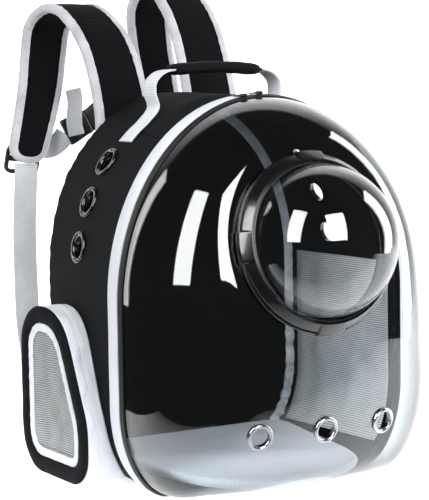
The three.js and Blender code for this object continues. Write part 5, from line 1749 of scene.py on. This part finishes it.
@dataclass
class ShoulderStrap:
    """A padded shoulder strap with its binding, ladder lock and lower webbing."""

    line: StrapLine
    thickness: float = 10.0
    binding: float = 5.0
    ladder_width: float = 46.0
    ladder_height: float = 36.0
    face_off: float = 5.8

    def build(self) -> None:
        """Builds the strap's pieces."""
        self.pad()
        self.edge_binding()
        self.ladder()
        self.lower_webbing()

    @property
    def word(self) -> str:
        """The side's name."""
        return self.line.side.word

    def pad(self) -> None:
        """The pad: a section that is full in the middle and thin at its sewn edge.

        The height off the mid-surface is a power of the share to the edge, with slow unevenness
        and, over the arch, cross wrinkles on the inner face where the foam is folded.
        """
        line = self.line
        along = line.stations(5.4)[:, None]
        aside = np.concatenate([np.linspace(-1, 1, 29), np.linspace(1, -1, 29)[1:-1]])[None, :]
        outer = np.concatenate([np.ones(29), -np.ones(27)])[None, :]
        half = line.half_width(along, 4.4)
        full = (1 - np.abs(aside) ** 3.2) ** 0.55
        end = np.clip((line.length - 3 - along) / 10, 0.12, 1) ** 0.5
        curl = line.curl(along[:, 0])[:, None]
        folds = ripple(along, aside * 9, 15.0, 121 + line.side.value)
        wrinkle = 0.55 * curl * np.where(outer < 0, 1.0, 0.35) * folds
        plump = 3.75 + 0.35 * ripple(along, aside * 20, 60.0, 131)
        off = outer * (1.5 + plump * full * end) + wrinkle * full
        points = line.place(along, half * aside, off)
        name = f"strap_pad_{self.word}"
        obj = Piece(f"{name}_foam", PAD_CLOTH, (name,)).make(Grid.capped(points))

    def edge_binding(self) -> None:
        """The binding folded over the pad's edge: a C-shaped tape that runs down one edge, round
        the end and up the other, puckered where the strap arches."""
        line = self.line
        stations = line.stations(0.0)
        half = line.half_width(stations, 0.0)
        run = np.concatenate([stations, stations[-2::-1]])
        aside = np.concatenate([half, -half[-2::-1]])
        inner_half = np.maximum(line.half_width(np.minimum(stations, line.length - 9), 8.6), 0.2)
        past = np.clip((stations - line.length + line.end_round) / line.end_round, 0, 1)
        straight = np.full_like(stations, line.length - line.end_round)
        rounding = line.half_width(straight, 8.6) * (1 - past**2) ** 0.4
        inner_half = np.where(past > 0, rounding, inner_half)
        inner_along = np.where(past > 0, straight + (line.end_round - 8.6) * past, stations)
        inner_run = np.concatenate([inner_along, inner_along[-2::-1]])
        inner_aside = np.concatenate([inner_half, -inner_half[-2::-1]])
        curl = line.curl(run)
        reach = np.concatenate([[0], np.cumsum(np.hypot(np.diff(run), np.diff(aside)))])
        lip = [(0.0, 4.2), (0.0, 5.05), (0.35, 5.5), (0.75, 5.1), (0.95, 3.6), (1.0, 0.0),
               (0.95, -3.6), (0.75, -5.1), (0.35, -5.5), (0.0, -5.05),
               (0.0, -4.2), (0.35, -4.5), (0.82, -3.4), (0.86, 0.0), (0.82, 3.4), (0.35, 4.5)]
        share, high = np.array(lip).T
        pucker = (0.35 + 0.9 * curl)[:, None] * 0.55 * ripple(reach[:, None], high[None, :] * 0.6, 9.0, 141)
        out = mix(inner_run[:, None], run[:, None], share[None, :])
        wide = mix(inner_aside[:, None], aside[:, None], share[None, :])
        fade = np.clip(np.abs(high) / 5, 0, 1) * np.sign(high)
        off = high[None, :] + fade[None, :] * np.clip(pucker, -0.6, 0.5)
        side_pucker = np.sign(aside)[:, None] * 0.4 * pucker * bump(high, 0, 3.5)[None, :]
        points = line.place(out, wide + np.clip(side_pucker, -0.6, 0.2), off)
        name = f"strap_binding_{self.word}"
        Piece(f"{name}_tape", STRAP_BINDING, (name,)).make(Grid.capped(points))

    def ladder(self) -> None:
        """The ladder lock: a bowed plate whose frame and cross bars are rounded rods.

        Each rod is a rounded section carried along a line on the plate, so the two slots stay
        open for the webbing.
        """
        line = self.line
        half, high = self.ladder_width / 2, self.ladder_height
        start = line.length - 20.0
        base = self.face_off + 1.8 + 0.3

        def plate(along: np.ndarray, aside: np.ndarray, off: np.ndarray) -> np.ndarray:
            """A place on the bowed plate."""
            bow = 3.0 * (1 - (2 * along / high - 1) ** 2)
            return line.place(start + along, aside, base + bow + off)

        angle = np.linspace(0, 2 * math.pi, 20, endpoint=False)
        c, s = power_circle(angle, 0.5)
        grids = []
        corner = np.linspace(0, math.pi / 2, 7)
        r = 6.0
        loop = []
        aside, low, tall = half - r - 2.6, r + 2.6, high - r - 2.6
        for cx, cy, first in ((aside, tall, 0), (-aside, tall, 1), (-aside, low, 2), (aside, low, 3)):
            turn = corner + first * math.pi / 2
            loop.append(np.column_stack([cx + r * np.cos(turn), cy + r * np.sin(turn)]))
        loop = np.vstack(loop)
        ahead = unit(np.roll(loop, -1, 0) - np.roll(loop, 1, 0))
        out = np.column_stack([ahead[:, 1], -ahead[:, 0]])
        xy = loop[:, None] + out[:, None] * (2.6 * c)[None, :, None]
        rim = plate(xy[..., 1], xy[..., 0], 2.25 + 2.2 * s[None, :])
        grids.append(Grid(rim, wrap_rows=True, wrap_cols=True))
        for middle, wide in ((0.49, 3.7), (0.13, 2.6)):
            across = np.linspace(-half + 3, half - 3, 24)[:, None]
            along = middle * high + wide * c[None, :] + 0 * across
            rod = plate(along, across + 0 * c[None, :], 2.25 + 1.9 * s[None, :])
            grids.append(Grid.capped(rod))
        name = f"ladder_lock_{self.word}"
        Piece(f"{name}_plate", SATIN_BLACK, (name,)).make(*grids)

    def lower_webbing(self) -> None:
        """The adjusting webbing, from under the pad's end in a slack curve to the bag's corner."""
        line = self.line
        start = line.place(np.array(line.length + 0.6), 0.0, 0.0)
        foot = np.array([line.side.value * 116.0, 197.9, 46.0])
        route = np.array([
            [0.05, 0.995, 0.05], [0.6, 0.92, 0.28], [1.1, 0.81, 0.5], [1.6, 0.67, 0.7], [1.9, 0.47, 0.86],
            [1.75, 0.27, 0.94], [1.35, 0.11, 0.965], [1.1, 0.04, 0.98],
        ])
        middle = np.column_stack([
            mix(start[0], foot[0], route[:, 0]),
            mix(foot[1], start[1], route[:, 1]),
            mix(start[2], foot[2], route[:, 2]),
        ])
        path = Path(np.vstack([start, middle, foot, [foot[0], foot[1], 26.0]]))
        along = np.linspace(0, path.length, 200)
        across = np.tile([1.0, 0.0, 0.0], (200, 1))
        name = f"lower_webbing_{self.word}"
        Piece(f"{name}_strap", STRAP_WEBBING, (name,)).make(flat_band(path.at(along), across, 30.0, 1.8))


@dataclass
class ChestStrap:
    """The sternum strap: two webbings, a fastened side-release buckle and the loose tail."""

    left: StrapLine
    right: StrapLine
    width: float = 25.0
    seat: float = 22.0
    rise: float = 34.0
    bow: float = 16.0
    buckle_start: float = 0.27
    buckle_length: float = 52.0
    buckle_half: float = 17.0
    path: Path = field(init=False)
    ups: list = field(init=False)

    def __post_init__(self) -> None:
        """Draws the strap's curve from pad to pad."""
        route = np.array([
            [0, 0, 0], [0.16, 0.5, 0.42], [0.3, 0.9, 0.85], [0.46, 1, 1.05], [0.62, 1, 1.05], [0.8, 0.7, 0.7],
            [0.92, 0.25, 0.25], [1, 0, 0],
        ])
        ends, self.ups = [], []
        for line in (self.left, self.right):
            along = line.length - self.seat
            aside = -line.side.value * np.array([-4.2, 14.0, 31.5])
            ends.append(line.place(np.full(3, along), aside, 6.7))
            middle = line.place(np.array([along - 1, along]), 0.0, 0.0)
            self.ups.append(unit(middle[0] - middle[1]))
        near, far = ends[0][2], ends[1][2]
        bend = route[:, 1:2] * [0, -self.bow, 0] + route[:, 2:] * [0, 0, self.rise]
        between = mix(near, far, route[:, :1]) + bend
        self.path = Path(np.vstack([ends[0][:2], between, ends[1][1::-1]]))

    def frame(self, along: np.ndarray) -> tuple[np.ndarray, np.ndarray, np.ndarray]:
        """The middle, the way up and the way off the strap's face at lengths along it."""
        along = np.atleast_1d(np.asarray(along, float))
        share = along / self.path.length
        free = np.clip((np.minimum(share, 1 - share) - 0.16) / 0.14, 0, 1)[:, None]
        near = np.where(share[:, None] < 0.5, self.ups[0], self.ups[1])
        tangent = self.path.tangent(along)
        hint = mix(near, np.array([0.0, 0, 1.0]), free)
        up = unit(hint - (hint * tangent).sum(-1, keepdims=True) * tangent)
        return self.path.at(along), up, np.cross(tangent, up)

    def build(self) -> None:
        """Builds the webbings, the buckle and the tail."""
        length = self.path.length
        middle = self.buckle_start * length + self.buckle_length / 2
        spot, up, off = (v[0] for v in self.frame(middle))
        seat = Seat(spot, off, up)
        tangent = np.cross(up, off)
        spans = {
            "left": (np.linspace(0.5, middle - 26.3, 70), -26.3),
            "right": (np.linspace(middle + 26.3, length - 0.5, 150), 26.3),
        }
        for word, (along, end) in spans.items():
            centre, ups, _ = self.frame(along)
            blend = np.exp(-np.abs(along - (middle + end)) / 6.0)[:, None]
            nearest = spot + tangent * (along - middle)[:, None]
            centre = mix(centre, np.where(blend > 0, nearest, centre), blend)
            ups = unit(mix(ups, up, blend))
            obj = flat_band(centre, ups, self.width, 1.8)
            Piece(f"chest_webbing_{word}_strap", STRAP_WEBBING, (f"chest_webbing_{word}",)).make(obj)
        self.buckle(seat, tangent)
        self.tail(seat, tangent)

    def buckle(self, seat: Seat, tangent: np.ndarray) -> None:
        """The buckle's two halves: rounded shells waisted in the middle, with the release
        windows sunk into the housing."""
        half, length = self.buckle_half, self.buckle_length
        split = (0.62 - 0.5) * length
        angle = np.linspace(0, 2 * math.pi, 40, endpoint=False)
        c, s = power_circle(angle, 0.38)
        for name, first, last, thick, ends in (
            ("buckle_female", -26.0, split, 9.0, (0.985, 0.87)),
            ("buckle_male", split + 0.3, 26.0, 6.5, (0.84, 0.985)),
        ):
            shares = [[0, 0.01, 0.03, 0.07], np.linspace(0.12, 0.88, 30), [0.93, 0.97, 0.99, 1]]
            t = np.concatenate(shares)[:, None]
            soft = 1 - 0.3 * np.exp(-t / 0.02) - 0.3 * np.exp(-(1 - t) / 0.02)
            taper = 0.5 - 0.5 * np.cos(math.pi * np.clip((t - 0.15) / 0.7, 0, 1))
            wide = half * mix(ends[0], ends[1], taper) * (0.9 + 0.1 * soft)
            place = mix(first, last, t)
            dent = np.zeros((len(t), 40))
            if name == "buckle_female":
                for side in (-1, 1):
                    dent += 2.4 * bump(t, 0.55, 0.17) ** 2 * bump(c * half, side * 10.5, 3.6) * (s > 0)
            else:
                dent += 1.6 * bump(t, 0.62, 0.12) * (s > 0) * bump(c * half, 0, 9)
            high = thick / 2 * s[None, :] * soft - dent
            right = place + 0 * c[None, :]
            aside = right[..., None] * tangent + (wide * c[None, :])[..., None] * seat.up
            points = seat.point + aside + high[..., None] * seat.normal
            Piece(f"{name}_shell", SATIN_BLACK, (name,)).make(Grid.capped(points))

    def tail(self, seat: Seat, tangent: np.ndarray) -> None:
        """The loose tail of the webbing: flat on the buckle's face, then standing up and folded."""
        route = np.array([
            [0, 0, -0.14], [0.07, 0, 0.1], [0.17, 0.01, 0.3], [0.26, 0.05, 0.46], [0.33, 0.07, 0.62],
            [0.38, 0.07, 0.8],
        ])
        face = 4.5 + 0.3 + 0.9
        spots = (
            seat.point
            + tangent * (route[:, :1] * 56 - 15.6)
            + seat.up * (route[:, 2:] * 56)
            + seat.normal * (face + route[:, 1:2] * 56)
        )
        path = Path(spots)
        along = np.linspace(0, path.length, 50)
        Piece("chest_tail_strap", STRAP_WEBBING, ("chest_tail",)).make(
            flat_band(path.at(along), np.tile(tangent, (50, 1)), 20.0, 1.6)
        )


@dataclass
class Studio:
    """The photographer's floor and backdrop, the camera and the soft lights."""

    camera_place: tuple = (-0.9071, -1.5108, 0.4120)
    camera_target: tuple = (-0.0620, -0.0425, 0.25894)
    roll: float = -0.901
    lens: float = 118.4
    shift: tuple = (0.00676, -0.01738)

    def build(self) -> None:
        """Builds the studio round the part."""
        self.sweep()
        self.camera()
        self.lights()

    def sweep(self) -> None:
        """Floor and backdrop in one sheet: flat, then a quarter circle, then upright. It is narrow
        under the bag, so that little of it is mirrored in the shell, and widens behind."""
        turn = np.linspace(0, math.pi / 2, 24)
        radius = 0.9
        line = np.vstack([
            np.column_stack([np.linspace(-0.34, 1.0, 30), np.zeros(30)]),
            np.column_stack([1.0 + radius * np.sin(turn), radius * (1 - np.cos(turn))])[1:],
            np.column_stack([np.full(12, 1.0 + radius), np.linspace(radius, 3.4, 13)[1:]]),
        ])
        away = unit(np.subtract(self.camera_target, self.camera_place)[:2])
        right = np.array([away[1], -away[0]])
        open_out = np.clip((line[:, :1] - 0.3) / 1.2, 0, 1) ** 2
        low, high = mix(-0.55, -4.0, open_out), mix(1.3, 4.0, open_out)
        x = mix(low, high, np.linspace(0, 1, 9)[None, :])
        plan = line[:, None, :1] * away + x[..., None] * right
        points = np.concatenate([plan, np.broadcast_to(line[:, None, 1:], (len(line), 9, 1)) - 0.0004], -1)
        grid = Grid(points * 1000 + np.array([0, ORIGIN_DEPTH, 0]))
        mesh = bpy.data.meshes.new("studio_sweep")
        mesh.from_pydata(to_frame(grid.points.reshape(-1, 3)).tolist(), [], grid.faces()[:, ::-1].tolist())
        mesh.polygons.foreach_set("use_smooth", np.ones(len(mesh.polygons), bool))
        mesh.materials.append(SWEEP.material())
        obj = bpy.data.objects.new("studio_sweep", mesh)
        bpy.context.scene.collection.objects.link(obj)

    def camera(self) -> None:
        """The camera at the photograph's place, turned to its target and rolled."""
        data = bpy.data.cameras.new("photo_camera")
        data.sensor_width = 36.0
        data.lens = self.lens
        data.shift_x, data.shift_y = self.shift
        data.clip_end = 30.0
        obj = bpy.data.objects.new("photo_camera", data)
        bpy.context.scene.collection.objects.link(obj)
        obj.location = self.camera_place
        look = Vector(self.camera_target) - Vector(self.camera_place)
        straight = look.to_track_quat("-Z", "Y").to_matrix().to_4x4()
        turn = straight @ Matrix.Rotation(self.roll * DEGREES, 4, "Z")
        obj.rotation_euler = turn.to_euler()
        bpy.context.scene.camera = obj
        bpy.context.scene.view_settings.view_transform = "Standard"

    def lights(self) -> None:
        """Two tall softboxes either side of the camera and two behind the bag for its rims."""
        back = unit(np.array(self.camera_place) - np.array(self.camera_target))
        self.softbox("box_left", self.toward(back, -41, 21), 2.2, (0.8, 1.75), 46)
        self.softbox("box_right", self.toward(back, 23, 20), 2.2, (1.02, 1.5), 54)
        self.softbox("rim_right", self.toward(back, 112, 10), 2.0, (0.7, 2.0), 46)
        self.softbox("rim_left", self.toward(back, -112, 10), 2.0, (0.4, 1.6), 10)
        world = bpy.data.worlds.new("studio_air")
        world.use_nodes = True
        background = world.node_tree.nodes["Background"]
        background.inputs["Color"].default_value = linear("F4F6FA")
        background.inputs["Strength"].default_value = 0.07
        bpy.context.scene.world = world

    @staticmethod
    def toward(back: np.ndarray, aside: float, up: float) -> np.ndarray:
        """The way back to the camera turned aside (right positive) and raised, in degrees."""
        heading = math.atan2(back[0], -back[1]) + aside * DEGREES
        lift = math.asin(back[2]) + up * DEGREES
        flat = math.cos(lift)
        return np.array([math.sin(heading) * flat, -math.cos(heading) * flat, math.sin(lift)])

    @staticmethod
    def softbox(name: str, way: np.ndarray, distance: float, size: tuple[float, float], power: float) -> None:
        """An area light of a size in metres, a distance from the bag's middle, facing it."""
        data = bpy.data.lights.new(name, "AREA")
        data.shape = "RECTANGLE"
        data.size, data.size_y = size
        data.energy = power
        obj = bpy.data.objects.new(name, data)
        bpy.context.scene.collection.objects.link(obj)
        middle = Vector((0.0, -0.1, 0.26))
        obj.location = middle + Vector(unit(way).tolist()) * distance
        obj.rotation_euler = (middle - obj.location).to_track_quat("-Z", "Y").to_euler()


def main() -> None:
    """Builds the part and its studio."""
    LOG.info("cloth body")
    Carcass().build()
    FloorMat().build()
    for side in Side:
        SideLining().build(side)
    LOG.info("front edge, shell and bubble")
    FrontEdge().build()
    shell = ClearFront()
    shell.build()
    Bubble(shell.seat()).build()
    LOG.info("pockets")
    for side in Side:
        POCKET.build(side)
    LOG.info("handle and straps")
    Handle().build()
    lines = [StrapLine(side) for side in Side]
    for line in lines:
        ShoulderStrap(line).build()
    ChestStrap(*lines).build()
    Studio().build()


if __name__ == "__main__":
    main()
